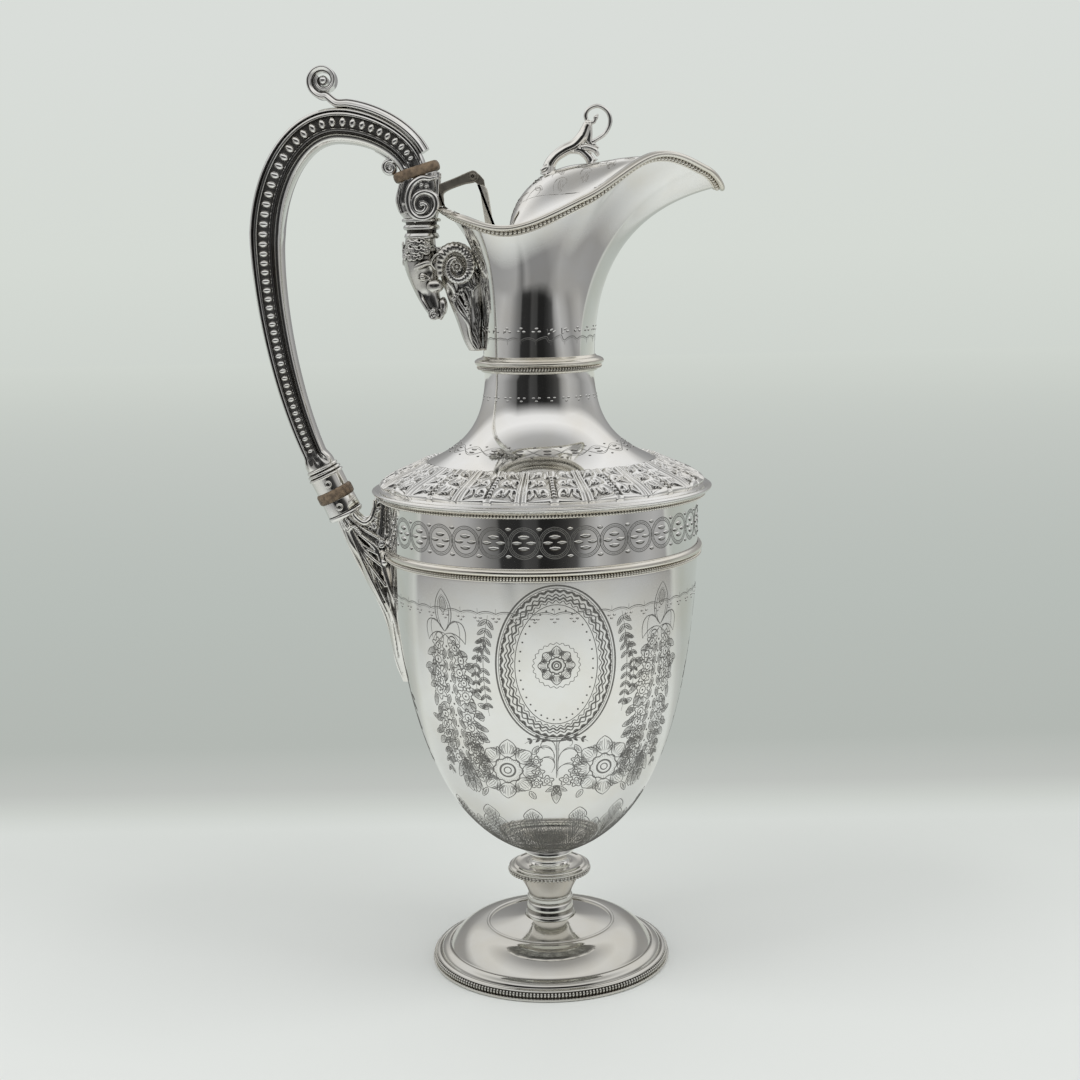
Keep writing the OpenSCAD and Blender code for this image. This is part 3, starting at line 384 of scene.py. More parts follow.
# ---------- foot, stem and knop ----------
def make_foot():
    edge_h = 3.4
    dome_r, ridge_r = 38.5, 24.4
    mass = Mass()
    rim = filleted([(foot_r - 4.4, 0.1), (foot_r - 0.5, 0), (foot_r, 0.4, 0.3), (foot_r, 1.1, 0.3),
                    (foot_r - 1.2, 1.25, 0.1), (foot_r - 1.5, 3.2, 0.1), (foot_r - 1.3, 3.45, 0.1),
                    (foot_r - 1.6, 3.9, 0.4), (foot_r - 2.6, 4.05, 0.4), (foot_r - 2.9, 3.7, 0.1),
                    (foot_r - 3.3, 3.9, 0.2), (foot_r - 3.6, 4.9, 0.5), (foot_r - 4.6, 5.7, 0.8),
                    (foot_r - 6.2, 6.1, 0.4), (foot_r - 6.8, 5.9, 0.1), (dome_r + 0.3, 6.3, 0.1),
                    (dome_r, edge_h + 3.4, 0.2)])
    dome = curve([(dome_r, edge_h + 3.4), (dome_r - 4, edge_h + 9), (ridge_r + 6, stem_z - 2.6),
                  (ridge_r + 0.5, stem_z - 2.5)], 40)[1:]
    ridge = filleted([(ridge_r + 0.5, stem_z - 2.5), (ridge_r + 0.3, stem_z - 2.0, 0.3),
                      (ridge_r - 0.6, stem_z - 2.0, 0.3), (ridge_r - 0.9, stem_z - 2.7, 0.2)], n=4)[1:]
    neck = curve([(ridge_r - 0.9, stem_z - 2.7), (ridge_r - 8, stem_z - 1.6), (stem_r + 5, stem_z - 1.2),
                  (stem_r + 1.6, stem_z - 0.05)], 24)[1:]
    inside = np.array([(stem_r + 1, stem_z - 1.4), (ridge_r - 1.5, stem_z - 4.4), (dome_r - 5, edge_h + 5.6),
                       (dome_r - 1.6, edge_h + 1.6), (foot_r - 4.4, 0.1)])
    profile = joined(rim, dome, ridge, neck, inside)
    # hollow: patina and painted shade in the grooves behind the beads and beside the mouldings
    hollow = np.zeros(len(profile))
    for k, (r, z) in enumerate(profile):
        if foot_r - 1.55 < r < foot_r - 1.15 and 1.2 < z < 3.4:
            hollow[k] = 1.0
        elif (foot_r - 3.2 < r < foot_r - 2.8 and z < 3.95) or (foot_r - 7.4 < r < foot_r - 6.6 and z < 6.2):
            hollow[k] = 0.7
    turned(mass, profile, 360, hollow)
    bead_row(mass, foot_r - 1.2, 2.3, 216, (0.58, 0.85, 0.95))
    return piece("foot_and_beads", mass, AGED, ["foot", "foot_wire"], sharp=40)


def make_stem():
    mass = Mass()
    lower = filleted([(stem_r + 1.5, stem_z - 0.2), (stem_r + 1.3, stem_z + 1, 0.3),
                      (stem_r + 0.7, stem_z + 1.5, 0.3), (stem_r + 0.95, stem_z + 3.2, 1),
                      (stem_r + 0.5, stem_z + 5.2, 0.6), (stem_r + 0.1, stem_z + 5.7, 0.1),
                      (stem_r + 0.5, stem_z + 6, 0.15), (stem_r + 0.55, stem_z + 8, 0.2),
                      (stem_r + 0.1, stem_z + 8.3, 0.1)])
    upper = curve([(stem_r + 0.1, stem_z + 8.3), (stem_r + 0.1, stem_z + 11), (knop_r - 5.2, knop_z - 4.2),
                   (knop_r - 3.2, knop_z - 0.1)], 20)[1:]
    turned(mass, joined(lower, upper, [(0.2, knop_z - 0.1), (0.2, stem_z - 0.2),
                                       (stem_r + 1.5, stem_z - 0.2)]), 160)
    return piece("stem_turned", mass, AGED, ["stem"], sharp=40)


def make_knop():
    ribs, rib_depth = 78, 0.55
    n = ribs * 8
    mass = Mass()
    profile = filleted([(0.2, knop_z), (knop_r - 3.4, knop_z - 0.1), (knop_r - 2.2, knop_z + 0.2, 0.3),
                        (knop_r - 0.9, knop_z + 0.5, 0.5), (knop_r - 0.1, knop_z + 1.3, 0.6),
                        (knop_r - 0.7, knop_z + 1.9, 0.15), (knop_r - 0.1, knop_z + 2.1, 0.2),
                        (knop_r, knop_z + 2.7, 0.3), (knop_r - 0.9, knop_z + 3.1, 0.15),
                        (knop_r - 1.2, knop_z + 3.0, 0.1), (knop_r - 1.5, knop_z + 3.5, 0.3),
                        (knop_r - 2.5, knop_z + 3.9, 0.3), (knop_r - 3.2, knop_z + 3.5, 0.2),
                        (knop_r - 4.4, knop_z + 3.3, 0.6), (8.8, knop_z + 3.4, 0.6), (7.9, reel_z + 0.1),
                        (0.2, reel_z)], n=5)
    angles = circle_angles(n)
    points = turned_points(profile, angles)
    # Only the lower part of the outer face is ribbed
    share = np.clip(1 - np.abs(profile[:, 1] - knop_z - 1.0), 0, 1) * (profile[:, 0] > knop_r - 3)
    share = share * (np.arange(len(profile)) < 40)
    rib = np.abs(np.sin(ribs / 2 * angles)) ** 0.7
    depth = rib_depth * share[:, None] * (1 - rib[None, :])
    out = np.stack([np.sin(angles), -np.cos(angles), 0 * angles], -1)
    points = points - depth[..., None] * out
    # Patina and painted shade in the grooves between the ribs
    mass.add(points, quads(len(profile), n), (depth / rib_depth) ** 0.8)
    bead_row(mass, knop_r - 0.55, knop_z + 1.15, 64, (0.6, 0.95, 0.95))
    return piece("knop_gadrooned", mass, AGED, ["knop"], sharp=60)


def make_stem_collar():
    seat_r, reel_r = bowl_seat_r, 6.8
    mass = Mass()
    profile = filleted([(0.2, reel_z), (reel_r + 1, reel_z, 0.2), (reel_r + 0.2, reel_z + 0.8, 0.3),
                        (reel_r, reel_z + 1.8, 0.6), (reel_r + 0.3, reel_z + 2.8, 0.6),
                        (reel_r + 1.4, reel_z + 3.6, 0.3), (seat_r - 0.1, reel_z + 4.0, 0.3),
                        (seat_r + 0.4, reel_z + 4.5, 0.3), (seat_r + 0.3, reel_z + 5.2, 0.3),
                        (seat_r, bowl_z), (0.2, bowl_z)])
    turned(mass, profile, 160)
    return piece("stem_collar_turned", mass, PLATE, ["stem_collar"], sharp=40)


make_foot()
make_stem()
make_knop()
make_stem_collar()


# ---------- bowl and band ----------
girdle_z = band_z - 1
girdle_h = 4.8
bowl_h = band_z - bowl_z
bowl_line = joined(curve([(bowl_seat_r, bowl_z), (0.725 * bowl_r, bowl_z + 0.102 * bowl_h),
                          (0.925 * bowl_r, bowl_z + 0.449 * bowl_h), (bowl_r, girdle_z - girdle_h / 2)], 120),
                   [(bowl_r, band_z)])


def inset(line, d):
    """The line moved inwards by d."""
    t = unit(np.gradient(line, axis=0))
    return line + d * np.stack([-t[:, 1], t[:, 0]], 1)


def make_bowl():
    mass = Mass()
    outer = resampled(bowl_line, count=190 // STEP)
    inner = resampled(inset(outer, wall), count=30)[::-1]
    turned(mass, joined(outer, inner), 540 // STEP)
    return piece("bowl_engraved", mass, PLATE, ["bowl"], sharp=40)


def make_girdle():
    mass = Mass()
    r, z = bowl_r + 0.1, girdle_z
    profile = filleted([(r, z - 2.4), (r + 0.45, z - 2.35, 0.15), (r + 0.55, z - 2.0, 0.15),
                        (r + 0.35, z - 1.75, 0.1), (r + 0.3, z - 0.6, 0.1), (r + 0.75, z - 0.4, 0.15),
                        (r + 1.7, z + 0.2, 0.5), (r + 1.7, z + 1.4, 0.5), (r + 0.9, z + 2.3, 0.4),
                        (r, z + 2.4)])
    # hollow: patina and painted shade in the groove behind the beads
    hollow = np.where((profile[:, 0] < r + 0.5) & (profile[:, 1] < z - 0.4) & (profile[:, 1] > z - 1.9),
                      0.9, 0.0)
    turned(mass, joined(profile, [(r, z - 2.4)]), 360, np.append(hollow, 0))
    bead_row(mass, r + 0.5, z - 1.2, 320, (0.56, 0.85, 0.66))
    return piece("girdle_beaded", mass, BEADED, ["girdle_wire"], sharp=40)


def make_band():
    mass = Mass()
    turned(mass, np.array([(bowl_r, band_z), (bowl_r, shoulder_z), (bowl_r - wall, shoulder_z),
                           (bowl_r - wall, band_z), (bowl_r, band_z)]), 540)
    return piece("upper_band_engraved", mass, PLATE, ["upper_band"], sharp=40)


make_bowl()
make_girdle()
make_band()


# ---------- shoulder ----------
lip_top_z = shoulder_z + 1.8
SHOULDER_BEND = [(shoulder_r - 3.2, lip_top_z + 0.2), (shoulder_r - 6.5, lip_top_z + 4.6),
                 (neck_seat_r + 7, neck_z - 4), (neck_seat_r + 0.4, neck_z)]


def make_shoulder_wire():
    mass = Mass()
    r, z = bowl_r + 0.1, shoulder_z
    profile = filleted([(r, z - 2.6), (r + 0.4, z - 2.55, 0.2), (r + 0.6, z - 2.2, 0.2),
                        (r + 1.5, z - 2.15, 0.1), (r + 1.7, z - 1.0, 0.1), (r + 3.6, z - 0.8, 0.2),
                        (r + 4.4, z - 0.05), (r, z - 0.05), (r, z - 2.6)])
    # hollow: patina and painted shade in the groove behind the beads
    hollow = np.where((profile[:, 0] > r + 1.3) & (profile[:, 0] < r + 2.4), 0.9, 0.0)
    turned(mass, profile, 360, hollow)
    bead_row(mass, r + 2.15, z - 1.55, 320, (0.57, 0.9, 0.75))
    return piece("shoulder_beaded", mass, BEADED, ["shoulder_wire"], sharp=40)


def make_shoulder():
    mass = Mass()
    lip = filleted([(bowl_r - wall, shoulder_z), (shoulder_r - 0.9, shoulder_z),
                    (shoulder_r, shoulder_z + 0.7, 0.5), (shoulder_r - 0.1, lip_top_z - 0.5, 0.5),
                    (shoulder_r - 1, lip_top_z, 0.4), (shoulder_r - 2.9, lip_top_z - 0.15)])
    chased = curve(SHOULDER_BEND, 60)
    inside = chased[::-6] - wall
    turned(mass, joined(lip, chased, inside, [(bowl_r - wall, lip_top_z - wall),
                                              (bowl_r - wall, shoulder_z)]), 540)
    return piece("shoulder_chased", mass, CAST, ["shoulder"], sharp=50)


make_shoulder_wire()
make_shoulder()


# ---------- neck ----------
def neck_outline(top_z, n):
    """The concave lower neck, from its seat on the shoulder up to a height."""
    h = collar_z - neck_z
    return curve([(neck_seat_r, neck_z), (0.63 * neck_seat_r, neck_z + 0.2 * h),
                  (neck_r, neck_z + 0.46 * h), (neck_r - 0.2, top_z)], n)


def make_neck_base():
    mass = Mass()
    outer = neck_outline(collar_z, 90)
    inner = inset(outer, wall)[::-6]
    inner = inner[inner[:, 1] > neck_z]
    turned(mass, joined(outer, inner, [(neck_seat_r - 2 * wall, neck_z), outer[0]]), 480)
    return piece("neck_base_engraved", mass, PLATE, ["neck_base"], sharp=40)


def make_collar():
    mass = Mass()
    r, z = neck_r, collar_z
    profile = filleted([(r - wall, z), (r + 0.3, z), (r + 0.9, z + 0.2, 0.2), (r + 1.1, z + 0.8, 0.2),
                        (r + 1.7, z + 1.1, 0.1), (r + 1.8, z + 2.3, 0.1), (r + 2.6, z + 2.5, 0.15),
                        (r + 3.4, z + 3.2, 0.5), (r + 3.3, z + 4.2, 0.5), (r + 2.2, z + 4.9, 0.4),
                        (r + 0.9, z + 5.2, 0.3), (r + 0.2, z + 6, 0.2), (r - wall, z + 6), (r - wall, z)])
    # hollow: patina and painted shade in the groove behind the beads
    hollow = np.where((profile[:, 0] > r + 1.6) & (profile[:, 0] < r + 2) & (profile[:, 1] < z + 2.5), 0.9,
                      0.0)
    turned(mass, profile, 240, hollow)
    bead_row(mass, r + 1.95, z + 1.75, 132, (0.5, 0.7, 0.72), lean=0.25)
    return piece("neck_collar_beaded", mass, BEADED, ["neck_collar"], sharp=40)


make_neck_base()
make_collar()


# ---------- spout ----------
spout_reach = 68
rim_back = 34.4
rim_half_w, rim_taper = 26, 8.5
tip_h, crest_h, dip_h, back_h = 59.8, 70.9, 46.3, 54
rim_mid_x = (spout_reach - rim_back) / 2
rim_half_l = (spout_reach + rim_back) / 2
# Rim height, wall slope at the rim and pull of the wall's curve, every 30 degrees from the tip to the back
rim_heights = np.array([tip_h, (tip_h + crest_h) / 2 + 1, crest_h, 0.43 * crest_h + 0.57 * dip_h - 0.8, dip_h,
                        (dip_h + back_h) / 2 + 0.5, back_h])
lip_slopes = np.array([0.19, 0.3, 0.7, 1.5, 2, 1.4, 0.98])
low_pulls = np.array([0.56, 0.58, 0.62, 0.68, 0.74, 0.78, 0.8])
high_pulls = np.array([0.75, 0.72, 0.66, 0.66, 0.75, 0.85, 0.95])


def fold(a):
    a = np.abs((np.asarray(a, float) + 180) % 360 - 180)
    return a / 30


def rim_point(a):
    rad = np.radians(a)
    return np.stack([rim_mid_x + rim_half_l * np.cos(rad), (rim_half_w - rim_taper * np.cos(rad))
                     * np.sin(rad), spout_z + smooth_table(rim_heights, fold(a))], -1)


def wall_point(a, s):
    """A point of the spout's outer face. a is 0 degrees at the tip, s runs from the neck to the rim."""
    a, s = np.broadcast_arrays(np.asarray(a, float), np.asarray(s, float))
    rad = np.radians(a)
    bottom = np.stack([neck_r * np.cos(rad), neck_r * np.sin(rad), spout_z + 0 * a], -1)
    top = rim_point(a)
    run = np.linalg.norm((top - bottom)[..., :2], axis=-1)
    corner_z = top[..., 2] - run * smooth_table(lip_slopes, fold(a))
    corner = np.stack([bottom[..., 0], bottom[..., 1], corner_z], -1)
    p1 = bottom + smooth_table(low_pulls, fold(a))[..., None] * (corner - bottom)
    p2 = top + smooth_table(high_pulls, fold(a))[..., None] * (corner - top)
    t = s[..., None]
    return (1 - t) ** 3 * bottom + 3 * (1 - t) ** 2 * t * p1 + 3 * (1 - t) * t * t * p2 + t ** 3 * top


def climb_dir(a, s):
    return unit(wall_point(a, np.minimum(s + 0.01, 1)) - wall_point(a, np.maximum(s - 0.01, 0)))


def wall_normal(a, s):
    return unit(np.cross(wall_point(a + 0.5, s) - wall_point(a - 0.5, s), climb_dir(a, s)))


def make_spout():
    mass = Mass()
    n = 360
    a = np.arange(n) * 360 / n
    outer = [wall_point(a, s) for s in np.linspace(0, 1, 81)]
    inner = [wall_point(a, s) - wall * wall_normal(a, s) for s in np.linspace(1, 0, 41)]
    inner[-1] = np.stack([(neck_r - wall) * np.cos(np.radians(a)), (neck_r - wall) * np.sin(np.radians(a)),
                          spout_z + 0 * a], -1)
    rows = np.array(outer + inner + outer[:1])
    mass.add(rows, quads(len(rows), n))
    return piece("spout_raised", mass, PLATE, ["spout"], sharp=40)


rim_section = filleted([(0.1, -3.4), (0.6, -3.4, 0.2), (0.75, -2.9, 0.2), (0.5, -2.65, 0.1),
                        (0.5, -1.3, 0.1), (1.2, -1.15, 0.2), (1.85, -0.5, 0.5), (1.7, 0.5, 0.5),
                        (0.9, 0.85, 0.5), (-0.3, 0.7, 0.3), (-0.4, 0.02)])


def make_rim_wire():
    mass = Mass()
    fine = np.linspace(0, 360, 1441)[:-1]
    line = rim_point(fine)
    s = lengths(np.vstack([line, line[:1]]))
    n = 720
    a = np.interp(np.arange(n) * s[-1] / n, s, np.append(fine, 360))

    def frame_at(a):
        p = rim_point(a)
        along = unit(rim_point(a + 0.5) - rim_point(a - 0.5))
        climb = climb_dir(a, 1.0 + 0 * a)
        out = unit(np.cross(along, climb))
        return p, along, np.cross(out, along), out

    p, along, up, out = frame_at(a)
    rows = np.array([p + q[0] * out + q[1] * up for q in np.vstack([rim_section, rim_section[:1]])])
    # hollow: patina and painted shade in the groove behind the beads
    hollow = np.where((rim_section[:, 0] < 0.62) & (rim_section[:, 1] < -1.2) & (rim_section[:, 1] > -2.7),
                      0.9, 0.0)
    mass.add(rows, quads(len(rows), n), np.repeat(np.append(hollow, hollow[0]), n))
    count = 178
    a = np.interp((np.arange(count) + 0.5) * s[-1] / count, s, np.append(fine, 360))
    p, along, up, out = frame_at(a)
    axes = np.stack([along * 0.68, out * 0.75, (up + 0.25 * along) * 0.74], 1)
    stamped(mass, ball(10, 8), p + 0.6 * out - 1.97 * up, axes)
    return piece("rim_beaded", mass, BEADED, ["rim_wire"], sharp=45)


make_spout()
make_rim_wire()


# ---------- joints of the handle ----------
def oriented(points, groups):
    """The faces, turned over if they look inwards."""
    groups = groups if isinstance(groups, list) else [groups]
    volume = 0.0
    for g in groups:
        a, b, c = points[g[:, 0]], points[g[:, 1]], points[g[:, 2]]
        volume += np.einsum("ij,ij->i", a, np.cross(b, c)).sum()
        if g.shape[1] == 4:
            volume += np.einsum("ij,ij->i", a, np.cross(c, points[g[:, 3]])).sum()
    return groups if volume > 0 else [g[:, ::-1] for g in groups]


def solid(mass, points, groups, shade=0.0):
    points = np.asarray(points, float).reshape(-1, 3)
    return mass.add(points, oriented(points - points.mean(0), groups), shade)


def loft(mass, rings, shade=0.0, closed=False):
    """Skins rings of equal length, with flat ends."""
    rings = np.asarray(rings, float)
    n, m = rings.shape[:2]
    points = rings.reshape(-1, 3)
    groups = [quads(n, m, close_rows=closed)]
    shade = np.broadcast_to(np.asarray(shade, float), (n, m)).ravel()
    if not closed:
        ends = np.array([rings[0].mean(0), rings[-1].mean(0)])
        j = np.arange(m)
        j1 = (j + 1) % m
        groups.append(np.concatenate([np.stack([0 * j + n * m, j1, j], 1),
                                      np.stack([0 * j + n * m + 1, (n - 1) * m + j, (n - 1) * m + j1], 1)]))
        points = np.concatenate([points, ends])
        shade = np.append(shade, [shade[0], shade[-1]])
    return solid(mass, points, groups, shade)


def sweep_flat(mass, path, sections, shade=0.0):
    """Sweeps sections of (to the side, across) along a line in the X-Z plane."""
    t = unit(np.gradient(path, axis=0))
    side = np.stack([t[:, 1], 0 * t[:, 0], -t[:, 0]], 1)
    sections = np.broadcast_to(sections, (len(path),) + np.shape(sections)[-2:])
    rings = (upright(path)[:, None, :] + sections[..., :1] * side[:, None, :]
             + sections[..., 1:] * np.array([0, 1.0, 0]))
    return loft(mass, rings, shade)


def oval(a, b, n=24, power=2.0):
    """Closed section, an ellipse at power 2 and squarer above."""
    t = circle_angles(n)
    c, s = np.cos(t), np.sin(t)
    return np.stack([a * np.sign(c) * np.abs(c) ** (2 / power), b * np.sign(s) * np.abs(s) ** (2 / power)], 1)


def swelling(n, places, sizes):
    """n sizes along a line, from the sizes at some places between 0 and 1."""
    return np.interp(np.linspace(0, 1, n), places, sizes)


def upright(path, y=0.0):
    """A line of (x, z) as points in space, all at one Y."""
    return np.stack([path[:, 0], y + 0 * path[:, 0], path[:, 1]], 1)


def tube(mass, line, radius, n=14, flat=1.0, up=(0, 1.0, 0)):
    """A round rod through points in space. radius may change along it."""
    line = np.asarray(line, float)
    t = unit(np.gradient(line, axis=0))
    side = unit(np.cross(t, np.asarray(up, float)))
    over = np.cross(side, t)
    r = np.broadcast_to(np.asarray(radius, float), (len(line),))[:, None, None]
    c = circle_angles(n)
    rings = line[:, None, :] + r * (np.cos(c)[None, :, None] * side[:, None, :]
                                    + flat * np.sin(c)[None, :, None] * over[:, None, :])
    return loft(mass, rings)


def blob(mass, place, size, around=24, up=14):
    """An ellipsoid."""
    points, groups = ball(around, up)
    return mass.add(points * np.asarray(size, float) + np.asarray(place, float), groups)


def spline(points, n):
    """Smooth line through the points."""
    p = np.asarray(points, float)
    ends = np.vstack([2 * p[0] - p[1], p, 2 * p[-1] - p[-2]])
    x = np.linspace(0, len(p) - 1, n)
    i = np.minimum(x.astype(int), len(p) - 2)
    f = (x - i)[:, None]
    a, b, c, d = ends[i], ends[i + 1], ends[i + 2], ends[i + 3]
    return b + 0.5 * f * (c - a + f * (2 * a - 5 * b + 4 * c - d + f * (3 * (b - c) + d - a)))


ins_tilt = math.radians(17.2)
ins_axis = np.array([-math.sin(ins_tilt), math.cos(ins_tilt)])
ins_flat = np.array([math.cos(ins_tilt), math.sin(ins_tilt)])
ins_mid = centre("upper_insulator")[[0, 2]]
upper_ins_t = 3.6
handle_w, handle_t = 12.6, 11
handle_top_w, handle_low_w, handle_low_t = 9.6, 8.2, 9
handle_reach = -low("handle", 0)
side_rise = 90.6
joint_tilt = math.radians(25)
joint_dir = np.array([math.sin(joint_tilt), -math.cos(joint_tilt)])
joint_side = np.array([math.cos(joint_tilt), math.sin(joint_tilt)])
joint_top = np.array([-(bowl_r + 24.2), shoulder_z + 10.2])
ferrule_r = 6.4
flare = 2 * ferrule_r - 1.8

top_start = ins_mid + ins_axis * (upper_ins_t / 2 + 0.02) - 0.8 * ins_flat
arch_top = ins_mid[1] + upper_ins_t / 2 + 15.8 - 0.06 * handle_w
arch_x = joint_top[0] + 0.105 * handle_reach
side_x = -handle_reach + handle_w / 2
side_z = shoulder_z + side_rise
HANDLE_BENDS = [
    [top_start, top_start + 0.086 * handle_reach * ins_axis, (arch_x + 0.105 * handle_reach, arch_top),
     (arch_x, arch_top)],
    [(arch_x, arch_top), (arch_x - 0.157 * handle_reach, arch_top), (side_x, side_z + 0.243 * side_rise),
     (side_x, side_z)],
    [(side_x, side_z), (side_x, side_z - 0.287 * side_rise), joint_top - 0.265 * side_rise * joint_dir,
     joint_top - 0.1 * joint_dir]]
BEND_ENDS = [0, 10, 22, 36]          # stations where the bends meet


def handle_at(u):
    """Point of the handle's line at station u."""
    u = np.asarray(u, float)
    out = np.zeros(u.shape + (2,))
    for bend, a, b in zip(HANDLE_BENDS, BEND_ENDS, BEND_ENDS[1:]):
        here = (u >= a) & (u <= b)
        out[here] = bezier(bend, (u[here] - a) / (b - a))
    return out


def handle_width(u):
    low_part = np.clip((u - 21) / 15, 0, 1) ** 0.8
    top_part = np.clip(1 - u / 9, 0, 1)
    w = handle_w + (handle_low_w - handle_w) * low_part + (handle_top_w - handle_w) * top_part
    end = np.clip((u - 34.9) / 1.1, 0, 1)
    return w + (flare - w) * (end * end * (3 - 2 * end))


CHANNEL = (-0.09, 0.27)              # inner and outer edge of the pearled channel, as shares of the width
CHANNEL_FROM, CHANNEL_TO = 0.5, 34.9


def channel_open(u):
    """1 along the channel, down to 0 past its rounded ends."""
    a = np.clip((u - CHANNEL_FROM) / 0.6, 0, 1)
    b = np.clip((CHANNEL_TO - u) / 0.5, 0, 1)
    return np.sqrt(np.clip(1 - (1 - a) ** 2, 0, 1)) * np.sqrt(np.clip(1 - (1 - b) ** 2, 0, 1))


def handle_section(u):
    """Half of the section at station u as (share of width, depth in mm, patina and painted shade)."""
    w = handle_width(np.array(u))
    fade = float(np.clip((36 - u) / 1.0, 0, 1))
    th = 0.5 * (handle_t + (handle_low_t - handle_t) * np.clip((u - 21) / 15, 0, 1))
    th = th * fade + flare / 2 * (1 - fade)
    op = float(channel_open(np.array(u)))
    groove = 0.85 * min(1.0, float(np.clip((u - 0.2) / 0.8, 0, 1)), fade)
    mid, half = sum(CHANNEL) / 2, (CHANNEL[1] - CHANNEL[0]) / 2 * max(op, 0.05)
    deep = 1.35 * (op > 0.02)
    lip = mid + (CHANNEL[1] - CHANNEL[0]) / 2
    lip_in = mid - (CHANNEL[1] - CHANNEL[0]) / 2
    points = [(0.5, 0.0, 0), (0.5, 0.55 * th, 0), (0.475, 0.8 * th, 0), (0.44, 0.9 * th, 0),
              (0.415, th * 0.93 - 0.1 * groove, 0.3), (0.385, th * 0.93 - groove, 0.9),
              (0.365, th * 0.95 - groove, 0.9), (0.35, th * 0.98 - 0.1 * groove, 0.2), (lip + 0.045, th, 0),
              (lip + 0.012, th, 0), (lip, th - 0.15, 0.2), (mid + half, th - 0.25, 0.3),
              (mid + half * 0.97, th - deep, 0.9), (mid + half * 0.5, th - deep - 0.05, 0.62),
              (mid, th - deep - 0.05, 0.62), (mid - half * 0.5, th - deep - 0.05, 0.62),
              (mid - half * 0.97, th - deep, 0.9), (mid - half, th - 0.25, 0.3), (lip_in, th - 0.15, 0.2),
              (lip_in - 0.012, th, 0), (lip_in - 0.05, th, 0), (lip_in - 0.075, th - 0.1 * groove, 0.3),
              (lip_in - 0.1, th * 0.97 - groove, 0.9), (lip_in - 0.125, th * 0.95 - groove, 0.8),
              (lip_in - 0.15, th * 0.95 - 0.3 * groove, 0.2), (-0.28, th * 0.99, 0), (-0.34, th * 1.0, 0),
              (-0.4, th * 0.94, 0), (-0.455, th * 0.78, 0), (-0.485, th * 0.6, 0), (-0.5, th * 0.3, 0),
              (-0.5, 0.0, 0)]
    points = np.array(points)
    points[:, 0] *= w
    # Towards the end the section becomes the round one of the ferrule
    angle = np.linspace(0, np.pi, len(points))
    disc = np.stack([flare / 2 * np.cos(angle), flare / 2 * np.sin(angle)], 1)
    mix = 1 - float(np.clip((36 - u) / 0.9, 0, 1)) ** 0.7
    points[:, :2] = points[:, :2] * (1 - mix) + disc * mix
    points[:, 2] *= (1 - mix) * np.clip(u / 0.5, 0, 1)
    return points


def make_handle():
    mass = Mass()
    u = np.unique(np.concatenate([np.linspace(0, 2, 25), np.linspace(2, 33.5, 200 // STEP + 40),
                                  np.linspace(33.5, 36, 40)]))
    path = handle_at(u)
    halves = [handle_section(v) for v in u]
    rings = np.array([np.vstack([h, (h * [1, -1, 1])[-2:0:-1]]) for h in halves])
    sweep_flat(mass, path, rings[..., :2], rings[..., 2])
    return piece("handle_moulded", mass, CAST, ["handle"], sharp=35)


def make_pearls():
    """Two rows of pearls, which get smaller where the channel narrows."""
    mass = Mass()
    u = np.linspace(CHANNEL_FROM, CHANNEL_TO, 3000)
    line = handle_at(u)
    s = lengths(line)
    at = 1.6
    points, groups = ball(16, 10)
    pearl = np.array([[1.3], [2.0], [1.35]])     # half sizes along the channel, across it and outwards
    while at < s[-1] - 1.0:
        v = np.interp(at, s, u)
        w = float(handle_width(np.array(v))) if v < 34.6 else handle_low_w
        size = w / handle_w * (0.62 + 0.38 * min(1, v / 2.2))
        p, q = handle_at(np.array([v, v + 0.01]))
        t = unit(q - p)
        n = np.array([t[1], -t[0]])
        th = 0.5 * (handle_t + (handle_low_t - handle_t) * np.clip((v - 21) / 15, 0, 1))
        mid = p + sum(CHANNEL) / 2 * w * n
        for side in (-1, 1):
            axes = np.array([[t[0], 0, t[1]], [n[0], 0, n[1]], [0, side, 0]]) * pearl * size
            place = np.array([mid[0], side * (th - 1.3), mid[1]])
            solid(mass, points @ axes + place, groups)
        at += 3.55 * size
    return piece("handle_pearls", mass, PLATE, sharp=80)


